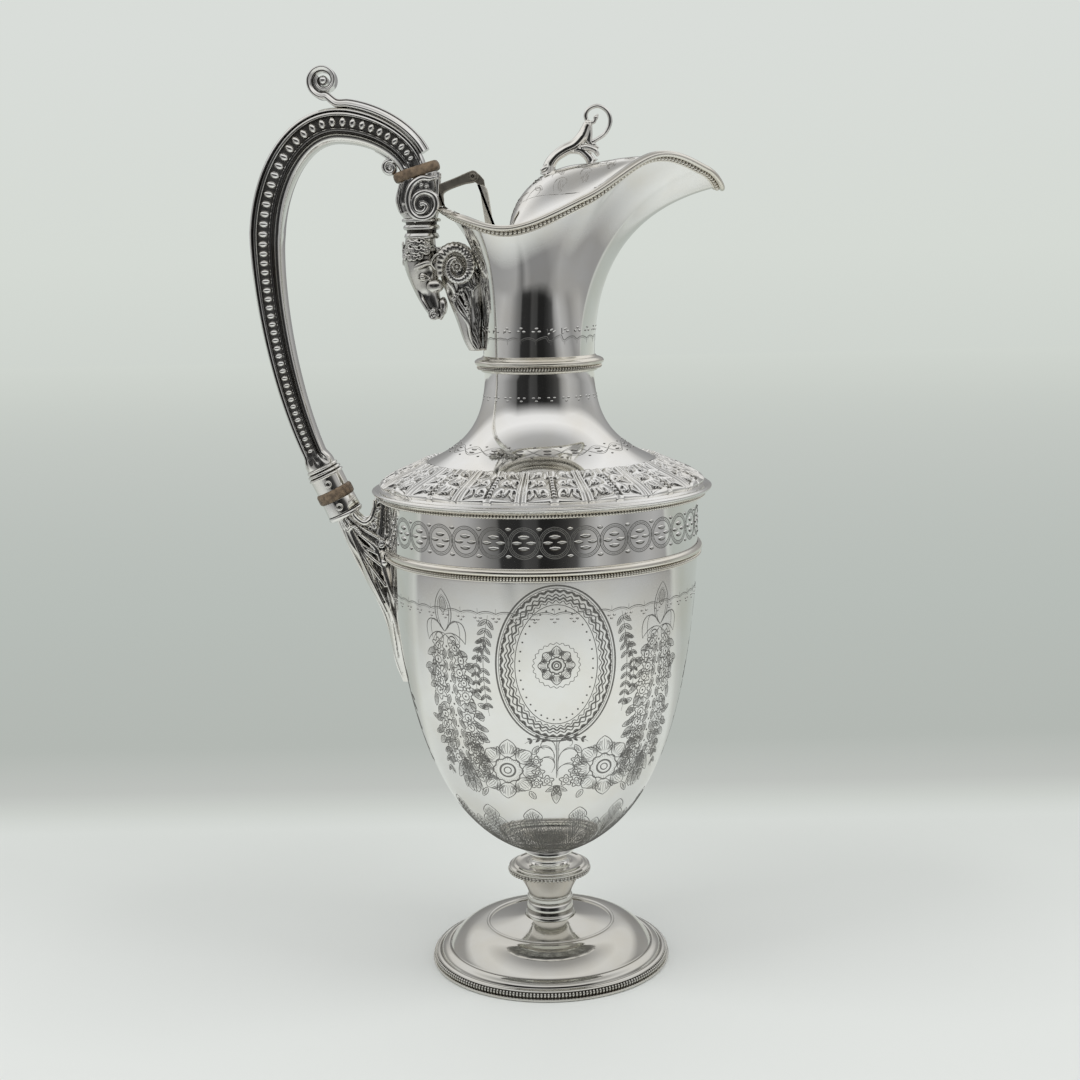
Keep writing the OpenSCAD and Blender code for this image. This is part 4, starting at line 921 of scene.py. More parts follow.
def make_strap():
    """The polished band over the arch, its scroll and the boss in the scroll's eye."""
    mass = Mass()
    strap_t, scroll_r = 3.2, 7.0
    stations = np.arange(1, 11)
    t = unit(handle_at(stations + 0.05) - handle_at(stations - 0.05))
    n = np.stack([t[:, 1], -t[:, 0]], 1)
    band = handle_at(stations) + (handle_width(stations)[:, None] / 2 + 0.1 + strap_t / 2) * n
    mid = handle_at(np.array([11.0]))[0] + np.array([-0.4, handle_w / 2 + 0.1 + strap_t / 2 + scroll_r + 1.3])
    k = np.arange(27) / 26
    angle = np.radians(170 + 500 * k)
    turns = np.stack([np.sin(angle), np.cos(angle)], 1)
    coil = mid + ((scroll_r - strap_t / 2) * (1 - 0.6 * k))[:, None] * turns
    path = resampled(spline(np.vstack([band, coil]), 900), count=260)
    s = lengths(path) / lengths(path)[-1]
    along = np.clip((s - 0.42) / 0.58, 0, 1)
    half_t = strap_t / 2 * (1 - 0.5 * along)
    half_w = 0.46 * handle_t * (1 - 0.12 * along)
    shape = filleted([(1, 0), (1, 0.55, 0.2), (0.86, 0.72, 0.1), (0.62, 0.72, 0.06), (0.5, 0.86, 0.06),
                      (0.1, 0.9, 0.2), (-0.35, 1, 0.2), (-0.8, 0.98, 0.15), (-1, 0.8, 0.15), (-1, 0)], n=3)
    ring = np.vstack([shape, (shape * [1, -1])[-2:0:-1]])
    sections = ring[None] * np.stack([half_t, half_w], 1)[:, None, :]
    # hollow: patina and painted shade in the groove along the strap's edge
    hollow = np.where((ring[:, 0] > 0.45) & (ring[:, 0] < 0.8), 0.85, 0.0)
    sweep_flat(mass, path, sections, np.broadcast_to(hollow, (len(path), len(ring))))
    for side in (-1, 1):
        blob(mass, (mid[0], side * 2.9, mid[1]), (1.75, 1.9, 1.75))
    tube(mass, [(mid[0], -3, mid[1]), (mid[0], 3, mid[1])], 1.6, up=(0, 0, 1.0))
    return piece("handle_strap_scroll", mass, CAST, ["handle_strap"], sharp=40)


def make_curl():
    """The leaf that curls away under the arch, beside the upper insulator."""
    mass = Mass()
    mid = centre("handle_curl")[[0, 2]] + np.array([0.4, 0.2])
    k = np.linspace(0, 1, 60)
    angle = np.radians(60 + 470 * k)
    coil = mid + (2.7 * (1 - 0.72 * k))[:, None] * np.stack([np.cos(angle), np.sin(angle)], 1)
    u = np.linspace(5.2, 2.2, 8)
    t = unit(handle_at(u + 0.05) - handle_at(u - 0.05))
    tail = handle_at(u) - (handle_width(u)[:, None] / 2 - 0.1) * np.stack([t[:, 1], -t[:, 0]], 1)
    path = resampled(spline(np.vstack([tail[:6], coil[::4]]), 300), count=110)
    s = np.linspace(0, 1, len(path))
    sizes = np.stack([0.45 + 0.5 * np.minimum(1, 3 * s),
                      1.8 + 1.9 * np.minimum(1, 2.2 * s) - 0.9 * s ** 3], 1)
    sweep_flat(mass, path, oval(1, 1, 20, 3)[None] * sizes[:, None, :])
    blob(mass, (mid[0], 0, mid[1]), (1.2, 3.4, 1.2))
    return piece("handle_leaf_curl", mass, CAST, ["handle_curl"], sharp=50)


def make_upper_insulator():
    """A rounded pad between the handle and the capital."""
    mass = Mass()
    length, width = 17.4, 13.0
    rings = []
    for grow, lift in [(-3.0, -0.5), (-0.9, -0.5), (-0.35, -0.42), (-0.05, -0.2), (0, 0), (-0.05, 0.2),
                       (-0.35, 0.42), (-0.9, 0.5), (-3.0, 0.5)]:
        flat = oval(length / 2 + grow, width / 2 + grow, 72, 4)
        base = ins_mid + lift * upper_ins_t * ins_axis
        rings.append(np.stack([base[0] + flat[:, 0] * ins_flat[0], flat[:, 1],
                               base[1] + flat[:, 0] * ins_flat[1]], 1))
    loft(mass, rings)
    return piece("insulator_upper_pad", mass, FIBRE, ["upper_insulator", "upper_pins"], sharp=60)


def along_joint(profile, mass, at=0.0, shade=0.0, n=96):
    """Adds a turned form on the lower joint's axis. The profile holds (radius, distance down the joint)."""
    profile = np.asarray(profile, float)
    a = circle_angles(n)
    d = profile[:, 1][:, None] + at
    r = profile[:, 0][:, None]
    x = joint_top[0] + d * joint_dir[0] + r * np.cos(a) * joint_side[0]
    z = joint_top[1] + d * joint_dir[1] + r * np.cos(a) * joint_side[1]
    y = r * np.sin(a)
    shade = np.repeat(shade, n) if np.ndim(shade) else shade
    points = np.stack([x, y + 0 * x, z], -1)
    return solid(mass, points, quads(len(profile), n, close_rows=True), shade)


ring_l, sleeve_l, lower_ins_t, lower_ins_r = 4.2, 5.2, 4.2, 7.0
ins_at = ring_l + sleeve_l
sleeve_at = ins_at + lower_ins_t
joint_l = sleeve_at + sleeve_l + 2.6


def rivet_heads(mass, d, r):
    """A raised ring with a sunk middle on both sides of a sleeve, where the pin comes through."""
    p = joint_top + d * joint_dir
    profile = filleted([(0.05, 0.15), (0.55, 0.1, 0.1), (0.7, 0.45, 0.1), (1.0, 0.6, 0.2),
                        (1.35, 0.45, 0.2), (1.5, -0.4), (0.05, -0.4)])
    a = circle_angles(28)
    # hollow: patina and painted shade in the sunk middle of each head
    hollow = np.where(profile[:, 0] < 0.62, 0.8, 0.0)
    for side in (-1, 1):
        x = p[0] + profile[:, :1] * np.cos(a)
        z = p[1] + profile[:, :1] * np.sin(a)
        y = side * (r + profile[:, 1:] + 0 * a)
        solid(mass, np.stack([x, y, z], -1).reshape(-1, 3), quads(len(profile), 28, close_rows=True),
              np.repeat(hollow, 28))


def make_lower_joint():
    f = ferrule_r
    upper = Mass()
    profile = filleted([(0.1, 0.05), (f - 0.9, 0, 0.2), (f - 0.2, 0.45, 0.3), (f - 0.3, 1.1, 0.2),
                        (f - 1.0, 1.5, 0.15), (f + 0.1, 1.9, 0.25), (f + 0.25, 2.6, 0.25),
                        (f - 0.6, 3.0, 0.12), (f + 0.4, 3.4, 0.25), (f + 0.5, 4.0, 0.25),
                        (f - 0.1, ring_l + 0.1, 0.1), (f - 0.15, ins_at, 0.1), (0.1, ins_at)])
    # Patina and painted shade in the grooves round the ferrule
    in_groove = (np.abs(profile[:, 1] - 1.5) < 0.18) | (np.abs(profile[:, 1] - 3.0) < 0.16)
    along_joint(profile, upper, 0, np.where(in_groove & (profile[:, 0] > 4), 0.9, 0.0))
    rivet_heads(upper, ring_l + sleeve_l / 2, f - 0.15)
    piece("ferrule_upper", upper, PLATE, ["upper_ferrule", "lower_pins"], sharp=40)

    pad = Mass()
    along_joint(filleted([(0.1, 0), (lower_ins_r - 0.5, 0, 0.4), (lower_ins_r, 0.7, 0.5),
                          (lower_ins_r, lower_ins_t - 0.7, 0.5), (lower_ins_r - 0.5, lower_ins_t, 0.4),
                          (0.1, lower_ins_t)]), pad, ins_at)
    piece("insulator_lower_ring", pad, FIBRE, ["lower_insulator"], sharp=60)

    lower = Mass()
    profile = filleted([(0.1, 0), (f, 0, 0.1), (f + 0.2, sleeve_l - 0.1, 0.1),
                        (f - 0.25, sleeve_l + 0.1, 0.1), (f + 0.3, sleeve_l + 0.35, 0.15),
                        (f + 0.5, sleeve_l + 0.8, 0.3), (f + 0.3, sleeve_l + 1.8, 0.4),
                        (f - 1.2, sleeve_l + 2.4, 0.5), (3.4, sleeve_l + 2.6, 0.4), (0.1, sleeve_l + 2.6)])
    # Patina and painted shade in the groove round the ferrule
    in_groove = np.abs(profile[:, 1] - sleeve_l - 0.05) < 0.16
    along_joint(profile, lower, sleeve_at, np.where(in_groove & (profile[:, 0] > 5), 0.9, 0.0))
    rivet_heads(lower, sleeve_at + sleeve_l / 2, f + 0.1)
    piece("ferrule_lower", lower, PLATE, ["lower_ferrule"], sharp=40)


make_handle()
make_pearls()
make_strap()
make_curl()
make_upper_insulator()
make_lower_joint()


# ---------- engraving ----------
def turned_surface(line):
    """Points, normals and radius on a turned surface, by angle in degrees and run along its outline in mm."""
    run = lengths(line)
    t = unit(np.gradient(line, run, axis=0))

    def surface(angle, s):
        r, z, across, up = (np.interp(s, run, v) for v in (line[:, 0], line[:, 1], t[:, 1], -t[:, 0]))
        a = np.radians(angle)
        x, y = np.sin(a), -np.cos(a)
        return np.stack([r * x, r * y, z], -1), np.stack([across * x, across * y, up], -1), r
    return surface


def moved(points, at=(0, 0), turn=0.0, size=1.0, flip=False):
    """Flat points turned by degrees, sized, mirrored and moved."""
    c, s = math.cos(math.radians(turn)), math.sin(math.radians(turn))
    p = np.asarray(points, float) * size * ([-1, 1] if flip else [1, 1])
    turned_p = np.stack([c * p[:, 0] - s * p[:, 1], s * p[:, 0] + c * p[:, 1]], 1)
    return turned_p + np.asarray(at, float)


def ellipse(a, b=None, waves=0, depth=0.0, start=0.0):
    """A flat oval whose outline may be wavy."""
    b = b or a
    t = start + circle_angles(max(16, int(4 * (a + b)) + 6 * waves))
    grow = depth * np.cos(waves * t)
    return np.stack([(a + grow) * np.sin(t), (b + grow) * np.cos(t)], 1)


LINE_WEIGHT = 1.35                   # all cut lines are this much wider than drawn


class Engraving:
    """Cut lines and lens cuts on a surface, drawn in flat mm around a centre. Each is a thin closed solid."""

    def __init__(self, surface):
        self.surface, self.mass, self.bright = surface, Mass(), Mass()
        self.centre(0, 0)

    def centre(self, angle, run, flip=False):
        self.angle, self.run, self.flip = angle, run, -1 if flip else 1
        return self

    def place(self, xy, lift=0.0):
        xy = np.asarray(xy, float)
        run = self.run + xy[:, 1]
        radius = self.surface(0 * run, run)[2]
        angle = self.angle + self.flip * np.degrees(xy[:, 0] / radius)
        point, normal, _ = self.surface(angle, run)
        return point + normal * np.reshape(lift, (-1, 1)), normal

    def line(self, xy, width=0.36, closed=False, depth=0.05, taper=True, gap=0.9):
        xy = np.asarray(xy, float)
        loop = np.vstack([xy, xy[:1]]) if closed else xy
        if len(loop) > 2 or np.ptp(loop, axis=0).max() > 3:
            loop = resampled(loop, step=gap) if lengths(loop)[-1] > 2 * gap else loop[[0, len(loop) // 2, -1]]
        if closed:
            loop = loop[:-1]
        if len(loop) < 2 or (closed and len(loop) < 4):
            return
        p, n = self.place(loop)
        ahead = np.roll(p, -1, 0) - np.roll(p, 1, 0) if closed else np.gradient(p, axis=0)
        side = unit(np.cross(n, ahead))
        w = np.full(len(p), LINE_WEIGHT * width / 2)
        if taper and not closed:
            w *= 0.25 + 0.75 * np.sqrt(np.sin(np.linspace(0.12, math.pi - 0.12, len(p))))
        w = w[:, None]
        rings = np.stack([p - side * w - 0.04 * n, p + depth * n, p + side * w - 0.04 * n], 1)
        loft(self.mass, rings, closed=closed)

    def lens(self, at, length, width, turn=0.0, height=0.22):
        """A bright cut: a low pointed oval, bright above its crest, with painted shade under it."""
        t = circle_angles(16)
        flat = np.stack([length / 2 * np.cos(t), width / 2 * np.sin(t) * (0.7 + 0.3 * np.abs(np.sin(t)))], 1)
        # lower: painted shade on the half under the crest
        lower = (flat[:, 1] < 0.02 * width).astype(float)
        rings = []
        for share, rise in ((1, -0.04), (0.8, 0.45 * height), (0.5, 0.8 * height), (0.12, height)):
            ring = flat * [0.25 + 0.75 * share, share] + [0, 0.1 * width * (1 - share)]
            rings.append(self.place(moved(ring, at, turn), rise)[0])
        loft(self.bright, rings, np.stack([lower, lower, 0.8 * lower, 0.2 * lower]))

    def dot(self, at, size):
        """A punched dark dot."""
        t = circle_angles(8)
        rings = [self.place(moved(np.stack([np.cos(t), np.sin(t)], 1) * size / 2 * share, at), rise)[0]
                 for share, rise in ((1, 0.0), (0.6, 0.06))]
        loft(self.mass, rings)

    def hatch(self, outline, turn, gap, width=0.22):
        """Fills an outline with cut lines."""
        p = moved(outline, turn=-turn)
        q = np.roll(p, -1, 0)
        for y in np.arange(p[:, 1].min() + gap / 2, p[:, 1].max(), gap):
            cross_here = (p[:, 1] <= y) != (q[:, 1] <= y)
            a, b = p[cross_here], q[cross_here]
            xs = np.sort(a[:, 0] + (y - a[:, 1]) / (b[:, 1] - a[:, 1]) * (b[:, 0] - a[:, 0]))
            for x0, x1 in zip(xs[::2], xs[1::2]):
                if x1 - x0 > 0.5:
                    self.line(moved([(x0 + 0.1, y), (x1 - 0.1, y)], turn=turn), width, depth=0.04)

    def petal(self, at, turn, length, width, veins=2):
        """Pointed petal from its root at the given place."""
        half = curve([(0, 0), (width * 0.75, length * 0.25), (width * 0.55, length * 0.75), (0, length)], 10)
        outline = np.vstack([half, (half * [-1, 1])[-2:0:-1]])
        self.line(moved(outline, at, turn), 0.42, closed=True, gap=0.6)
        for v in range(-veins, veins + 1):
            x = v * width * 0.17
            self.line(moved([(x * 0.4, length * 0.2), (x, length * 0.5),
                             (x * 0.7, length * (0.86 - 0.06 * abs(v)))], at, turn), 0.26)

    def rosette(self, at, r, petals=5, turn=0.0):
        """A small flower of round petals about a ringed eye."""
        outline = ellipse(r * 0.84, waves=petals, depth=r * 0.2, start=math.radians(turn))
        self.line(moved(outline, at), 0.5, closed=True, gap=0.45)
        self.line(moved(ellipse(r * 0.42), at), 0.46, closed=True, gap=0.4)
        self.dot(at, r * 0.26)
        for k in range(petals):
            tip = turn + (k + 0.5) * 360 / petals
            for lean in (-14, 14):
                self.line(moved([(0, r * 0.48), (0, r * 0.76)], at, tip + lean), 0.26)

    def flower(self, at, r, petals=8, turn=0.0):
        """A big flower: pointed veined petals, tips between them, a serrated ring and a double eye."""
        for k in range(petals):
            angle = turn + k * 360 / petals
            longer = 1.18 if k % (petals // 2) == 0 else 1.0
            self.petal(moved([(0, r * 0.46)], at, angle)[0], angle, r * 0.58 * longer, r * 0.6, 6)
            self.line(moved([(-r * 0.13, r * 0.62), (0, r * 0.96), (r * 0.13, r * 0.62)], at,
                            angle + 180 / petals), 0.46)
        self.line(moved(ellipse(r * 0.47, waves=petals, depth=r * 0.035), at), 0.62, closed=True, gap=0.35)
        for k in range(5 * petals):
            self.line(moved([(0, r * 0.36), (0, r * 0.45)], at, k * 72 / petals), 0.22)
        for share, width in ((0.25, 0.95), (0.12, 0.6)):
            self.line(moved(ellipse(r * share), at), width, closed=True, gap=0.4)

    def sprig(self, path, leaf, pairs, first=0.15, lean=38):
        """A stem with leaves on its sides."""
        path = resampled(curve(path, 16) if len(path) == 4 else np.asarray(path, float), count=24)
        self.line(path, 0.32)
        for k in range(pairs):
            i = int((first + (1 - first) * k / pairs) * 23)
            ahead = path[min(i + 1, 23)] - path[max(i - 1, 0)]
            heading = math.degrees(math.atan2(-ahead[0], ahead[1]))
            size = leaf * (1 - 0.35 * k / pairs)
            for side in (-1, 1):
                self.petal(path[i], heading + side * lean, size, size * 0.36, 1)

    def scroll_leaf(self, at, size, turn=0.0, flip=False):
        """A leaf that ends in a C-shaped curl."""
        k = np.linspace(0, 1, 22)
        a = math.radians(200) - 4.6 * k
        coil = np.stack([np.cos(a), np.sin(a)], 1) * (0.5 * (1 - 0.72 * k))[:, None] + [0.5, 0]
        back = coil * [1.0, 1.35] + [0, -0.06]
        self.line(moved(coil, at, turn, size, flip), 0.42, gap=0.4)
        self.line(moved(back[:14], at, turn, size, flip), 0.3, gap=0.5)
        for i in (3, 6, 9):
            self.line(moved([coil[i], back[i]], at, turn, size, flip), 0.24)

    def acanthus(self, length, width, lobes, at):
        """An upright lobed leaf with fanned veins, hatched all over."""
        t = np.linspace(0, 1, 18 * lobes)
        body = np.sin(np.pi * np.clip(0.16 + 0.84 * t, 0, 1)) ** 0.55
        half_w = width / 2 * body * (0.66 + 0.34 * np.abs(np.sin(np.pi * lobes * t)) ** 0.6)
        right = np.stack([half_w, length * (t ** 0.92)], 1)
        outline = np.vstack([right, (right * [-1, 1])[::-1]])
        self.line(moved(outline, at), 0.44, closed=True, gap=0.5)
        self.line(moved([(0, 0), (0, length * 0.5), (0, length * 0.93)], at), 0.5)
        for side in (-1, 1):
            for k in range(1, 2 * lobes):
                tip = right[min(9 * k, len(right) - 1)] * [side * 0.93, 1]
                root = np.array([0, tip[1] * 0.5])
                bend = np.array([tip[0] * 0.45, tip[1] * 0.9])
                self.line(moved([root, bend, tip], at), 0.3 if k % 2 else 0.22)
        inside = moved(outline * [0.92, 0.96] + [0, 0.3], at)
        self.hatch(inside, 78, 0.6, 0.4)
        self.hatch(inside, 102, 0.8, 0.34)

    def scallops(self, run, count, drop, start=0.0, trefoils=0.0, ticks=0.0):
        """A line of arcs round the jug, with three-dot cuts at one side and ticks at the other."""
        self.centre(0, run)
        radius = float(self.surface(0.0, run)[2])
        pitch = 2 * math.pi * radius / count
        x = np.linspace(-pitch / 2, pitch / 2, 11)
        for k in range(count):
            self.centre(start + k * 360 / count, run)
            self.line(np.stack([x, drop * (np.abs(x / pitch * 2) ** 2.2)], 1), 0.4, taper=False)
            self.line(np.stack([x * 0.9, drop * (np.abs(x / pitch * 2) ** 2.2) + 0.55 * np.sign(drop)], 1),
                      0.22)
            if trefoils:
                for dx, dy in ((-1.05, 0), (1.05, 0), (0, 1.15 * np.sign(trefoils))):
                    self.lens((dx + pitch / 2, trefoils + dy), 1.35, 0.9)
            if ticks:
                self.line([(pitch / 2, drop + 0.3 * np.sign(ticks)), (pitch / 2, drop + ticks)], 0.34)

    def finish(self, name):
        piece(name + "_lines", self.mass, LINES, sharp=20)
        piece(name + "_bright_cuts", self.bright, PLATE, sharp=25)


def run_at(line, z):
    """Run along an outline at a height."""
    return float(np.interp(z, line[:, 1], lengths(line)))


MEDALLION_AT = 4.0                   # where the front medallion faces, in degrees from straight ahead
BOWL_OUTLINE = bowl_line[:-1]


def medallion(cut):
    """An oval frame of rings, waves and dots about a small rosette."""
    a, b = 21.6, 29.2
    for inward, width in ((0, 0.85), (0.95, 0.3), (6.9, 0.4)):
        cut.line(ellipse(a - inward, b - inward), width, closed=True)
    for inward, waves, depth, width in ((2.0, 44, 0.42, 0.95), (3.5, 44, 0.45, 0.6), (4.7, 40, 0.45, 0.85),
                                        (5.8, 40, 0.5, 0.45)):
        cut.line(ellipse(a - inward, b - inward, waves, depth), width, closed=True, gap=0.45)
    for k in range(44):
        t = 2 * math.pi * (k + 0.5) / 44
        slope = math.degrees(math.atan2(-(b - 1.6) * math.sin(t), (a - 1.6) * math.cos(t)))
        cut.lens(((a - 1.6) * math.sin(t), (b - 1.6) * math.cos(t)), 1.9, 0.85, slope)
    for k in range(36):
        t = 2 * math.pi * (k + 0.5) / 36
        cut.dot(((a - 8.5) * math.sin(t), (b - 8.5) * math.cos(t)), 0.75)
    cut.flower((0, 0), 6.4, 8)
    cut.line(ellipse(8.2, 8.2, 24, 0.35), 0.3, closed=True, gap=0.4)


def drop_of_flowers(cut, seed, ribbon=True):
    """A hanging bunch of flowers and leaves under a bow, 80 mm long. Its top is at the local centre."""
    rng = np.random.default_rng(seed)
    if ribbon:
        for side in (-1, 1):
            for size, width in ((1.0, 0.5), (0.72, 0.36)):
                cut.line(curve([(0, -8), (side * 5.4 * size, -4), (side * 4.6 * size, 3.5),
                                (0, 7.8 * size)], 14), width)
                cut.line(curve([(0, -8), (side * 5, -1 * size), (side * 11 * size, -3),
                                (side * 8.6 * size, -12)], 14), width)
                cut.line(curve([(side * 8.6 * size, -12), (side * 6.5 * size, -9), (side * 3.6, -7.4),
                                (0, -9)], 10), width)
                cut.line(curve([(0, -9), (side * 4 * size, -12), (side * 9 * size, -15),
                                (side * 6 * size, -22)], 12), width)
            cut.scroll_leaf((side * 0.8, -11), 5.2, 14, side < 0)
        cut.petal((0, -1), 0, 6, 3, 2)
    y = -14.0
    while y > -60:
        spread = 2.9 + 3.4 * math.sin(math.pi * min(1, (-y - 6) / 60))
        for side in (-1, 1):
            x = side * (spread + rng.uniform(-0.9, 0.9))
            if rng.random() < 0.75:
                cut.rosette((x, y + rng.uniform(-0.8, 0.8)), rng.uniform(2.8, 3.7), 6, rng.uniform(0, 60))
            else:
                cut.petal((x * 0.45, y), -side * rng.uniform(95, 130), 6.4, 3.4, 3)
            cut.petal((x * 1.35, y - 1.0), 180 + side * rng.uniform(5, 75), rng.uniform(4.2, 6.6),
                      rng.uniform(2.2, 3.0), 3)
            if rng.random() < 0.4:
                cut.petal((x * 1.5, y + 1.6), 180 + side * rng.uniform(60, 120), 4.6, 2.1, 2)
            cut.petal((x * 0.25, y - 0.6), 180 + side * rng.uniform(0, 22), 4.2, 2.0, 2)
        cut.dot((0, y + 0.4), 0.9)
        y -= 4.4
    for turn, length in ((180, 15), (196, 14), (164, 14), (214, 11), (148, 11)):
        cut.petal((0, -58), turn, length, 3.3, 3)
    for side in (-1, 1):
        cut.sprig([(side * 1.5, -44), (side * 6, -50), (side * 9.5, -58), (side * 10, -67)], 5.2, 5, lean=30)
        cut.petal((side * 3.0, -64), 180 - side * 12, 9, 3.4, 3)


def pendant(cut):
    """The stem that hangs under a medallion, with curled leaves, two small flowers and a bud."""
    cut.line([(0, 1.5), (0, -10), (0, -15)], 0.6)
    cut.line([(0.7, 1.0), (0.5, -8), (0.4, -14)], 0.26)
    for s in (1, -1):
        for x, y, size, turn in ((0.4, -1.2, 7.2, 6), (0.6, -5.6, 9.4, -8), (0.6, -10.6, 8.4, -26)):
            cut.scroll_leaf((s * x, y), size, turn, s < 0)
        cut.sprig([(s * 2, 1), (s * 5.5, 2.6), (s * 9, 1.6), (s * 11.5, -0.4)], 2.6, 3, lean=40)
        cut.rosette((s * 3.4, -16.3), 2.5, 5, 12)
        for turn in (150, 118):
            cut.petal((s * 1.0, -18.6), s * turn, 5.6, 2.0, 1)
    cut.petal((0, -18.6), 180, 8.6, 3.4, 2)


def make_bowl_engraving():
    cut = Engraving(turned_surface(BOWL_OUTLINE))
    under_band = dict(medallion=33.6, flower=73.9, drop=15, scallop=14.1, leaf_tip=90.7, spray=16.5,
                      pendant=62.9)
    level = {name: run_at(BOWL_OUTLINE, band_z - depth) for name, depth in under_band.items()}
    for face in (0, 180):
        front = MEDALLION_AT + face
        medallion(cut.centre(front, level["medallion"]))
        pendant(cut.centre(front, level["pendant"]))
        for side in (-1, 1):
            cut.centre(front, level["flower"], flip=side < 0)
            cut.flower((17.8, -0.5), 11.4, 8)
            for x, y, r in ((7.4, 3.6, 2.3), (6.6, -1.2, 2.4), (7.2, -6.0, 2.2), (29.6, 2.4, 2.1),
                            (29.0, -3.4, 2.2), (31.0, 8.4, 2.3)):
                cut.rosette((x, y), r, 5, 20 * x)
            for x, y, turn, length in ((8.6, 6.6, 30, 4.2), (27.4, 9.6, -30, 5.2), (9.6, -9.6, 150, 4.4),
                                       (26.0, -9.4, 205, 5.2), (31.6, 1.2, -80, 4.6),
                                       (31.4, -5.6, -120, 4.4)):
                cut.petal((x, y), turn, length, 2.2, 1)
            cut.centre(front, level["spray"], flip=side < 0)
            cut.sprig([(24.3, 1), (27.2, -12), (27.2, -24), (24.4, -37)], 4.3, 10, 0.05, 44)
            cut.sprig([(25.5, -6), (29.5, -14), (30.5, -22), (28.5, -30)], 3.4, 7, 0.1, 40)
            cut.centre(front + side * 43, level["drop"], flip=side < 0)
            drop_of_flowers(cut, 11 + face)
    for angle in (92, 272):
        drop_of_flowers(cut.centre(angle, level["drop"]), 5)
    cut.scallops(level["scallop"], 52, -0.9, trefoils=-2.4, ticks=1.9)
    leaves = 14
    tall = level["leaf_tip"] - run_at(BOWL_OUTLINE, bowl_z + 2.2)
    for k in range(leaves):
        cut.centre(MEDALLION_AT + (k + 0.5) * 360 / leaves, level["leaf_tip"])
        cut.acanthus(tall, 13.6, 6, at=(0, -tall))
        cut.centre(MEDALLION_AT + k * 360 / leaves, level["leaf_tip"])
        cut.acanthus(tall * 0.8, 8.4, 4, at=(0, -tall))
    cut.finish("bowl_engraving")


def make_band_engraving():
    outline = np.array([(bowl_r, band_z), (bowl_r, shoulder_z)])
    cut = Engraving(turned_surface(resampled(outline, count=20)))
    count, mid = 34, 10.3
    pitch = 2 * math.pi * bowl_r / count
    for k in range(count):
        cut.centre(MEDALLION_AT + k * 360 / count, mid)
        for r, width in ((5.5, 0.42), (4.95, 0.26), (4.4, 0.42)):
            cut.line(ellipse(r), width, closed=True, gap=0.7)
        for j in range(30):
            cut.line(moved([(0, 4.45), (0, 5.45)], turn=12 * j), 0.2, depth=0.03)
        for at, length, width in (((0, 2.0), 4.2, 1.8), ((0, -2.0), 4.2, 1.8), ((2.45, 0), 3.6, 1.55),
                                  ((-2.45, 0), 3.6, 1.55)):
            cut.lens(at, length, width, height=0.36)
        for side in (-1, 1):
            cut.lens((pitch / 2, side * 4.75), 2.3, 1.4, height=0.3)
    cut.finish("upper_band_engraving")


def make_neck_engraving():
    outline = neck_outline(collar_z - 1, 120)
    cut = Engraving(turned_surface(outline))
    knots = 20
    run = run_at(outline, neck_z + 5.5)
    cut.centre(0, run)
    radius = float(cut.surface(0.0, run)[2])
    pitch = 2 * math.pi * radius / knots
    x = np.linspace(-pitch / 2, pitch / 2, 15)
    for k in range(knots):
        cut.centre(MEDALLION_AT + k * 360 / knots, run)
        for sign in (-1, 1):
            wave = sign * 2.3 * np.cos(np.pi * x / pitch)
            for inward, width in ((0, 0.4), (0.75, 0.3)):
                y = wave - inward * np.sign(wave) * np.abs(np.cos(np.pi * x / pitch))
                cut.line(np.stack([x, y], 1), width, taper=False)
        cut.lens((0, 0.75), 3.2, 1.05)
        cut.lens((0, -0.75), 3.2, 1.05)
        cut.lens((pitch / 2, 2.6), 1.3, 0.9)
        cut.lens((pitch / 2, -2.6), 1.3, 0.9)
    cut.scallops(run_at(outline, collar_z - 6.9), 24, 1.0, MEDALLION_AT, trefoils=-1.7, ticks=1.4)
    cut.finish("neck_base_engraving")


def make_spout_engraving():
    """The border at the foot of the spout, drawn on its wall."""
    step = 15
    share = np.linspace(0, 0.5, 26)
    heights = np.array([[wall_point(a, s)[2] - spout_z for s in share] for a in range(0, 360, step)])

    def surface(angle, run):
        angle, run = np.broadcast_arrays(np.atleast_1d(np.asarray(angle, float)),
                                         np.atleast_1d(np.asarray(run, float)))
        points, normals, radii = [], [], []
        for a, z in zip(angle, run):
            a = a - 90
            s = float(np.interp(z, heights[int(round((a % 360) / step)) % len(heights)], share))
            p = wall_point(a, s)
            points.append(p)
            normals.append(wall_normal(a, max(s, 0.02)))
            radii.append(math.hypot(p[0], p[1]))
        radii = np.array(radii)
        return np.array(points), np.array(normals), radii if radii.size > 1 else radii[0]
    cut = Engraving(surface)
    cut.scallops(7.2, 24, -1.0, MEDALLION_AT, trefoils=2.0, ticks=-1.6)
    cut.finish("spout_engraving")


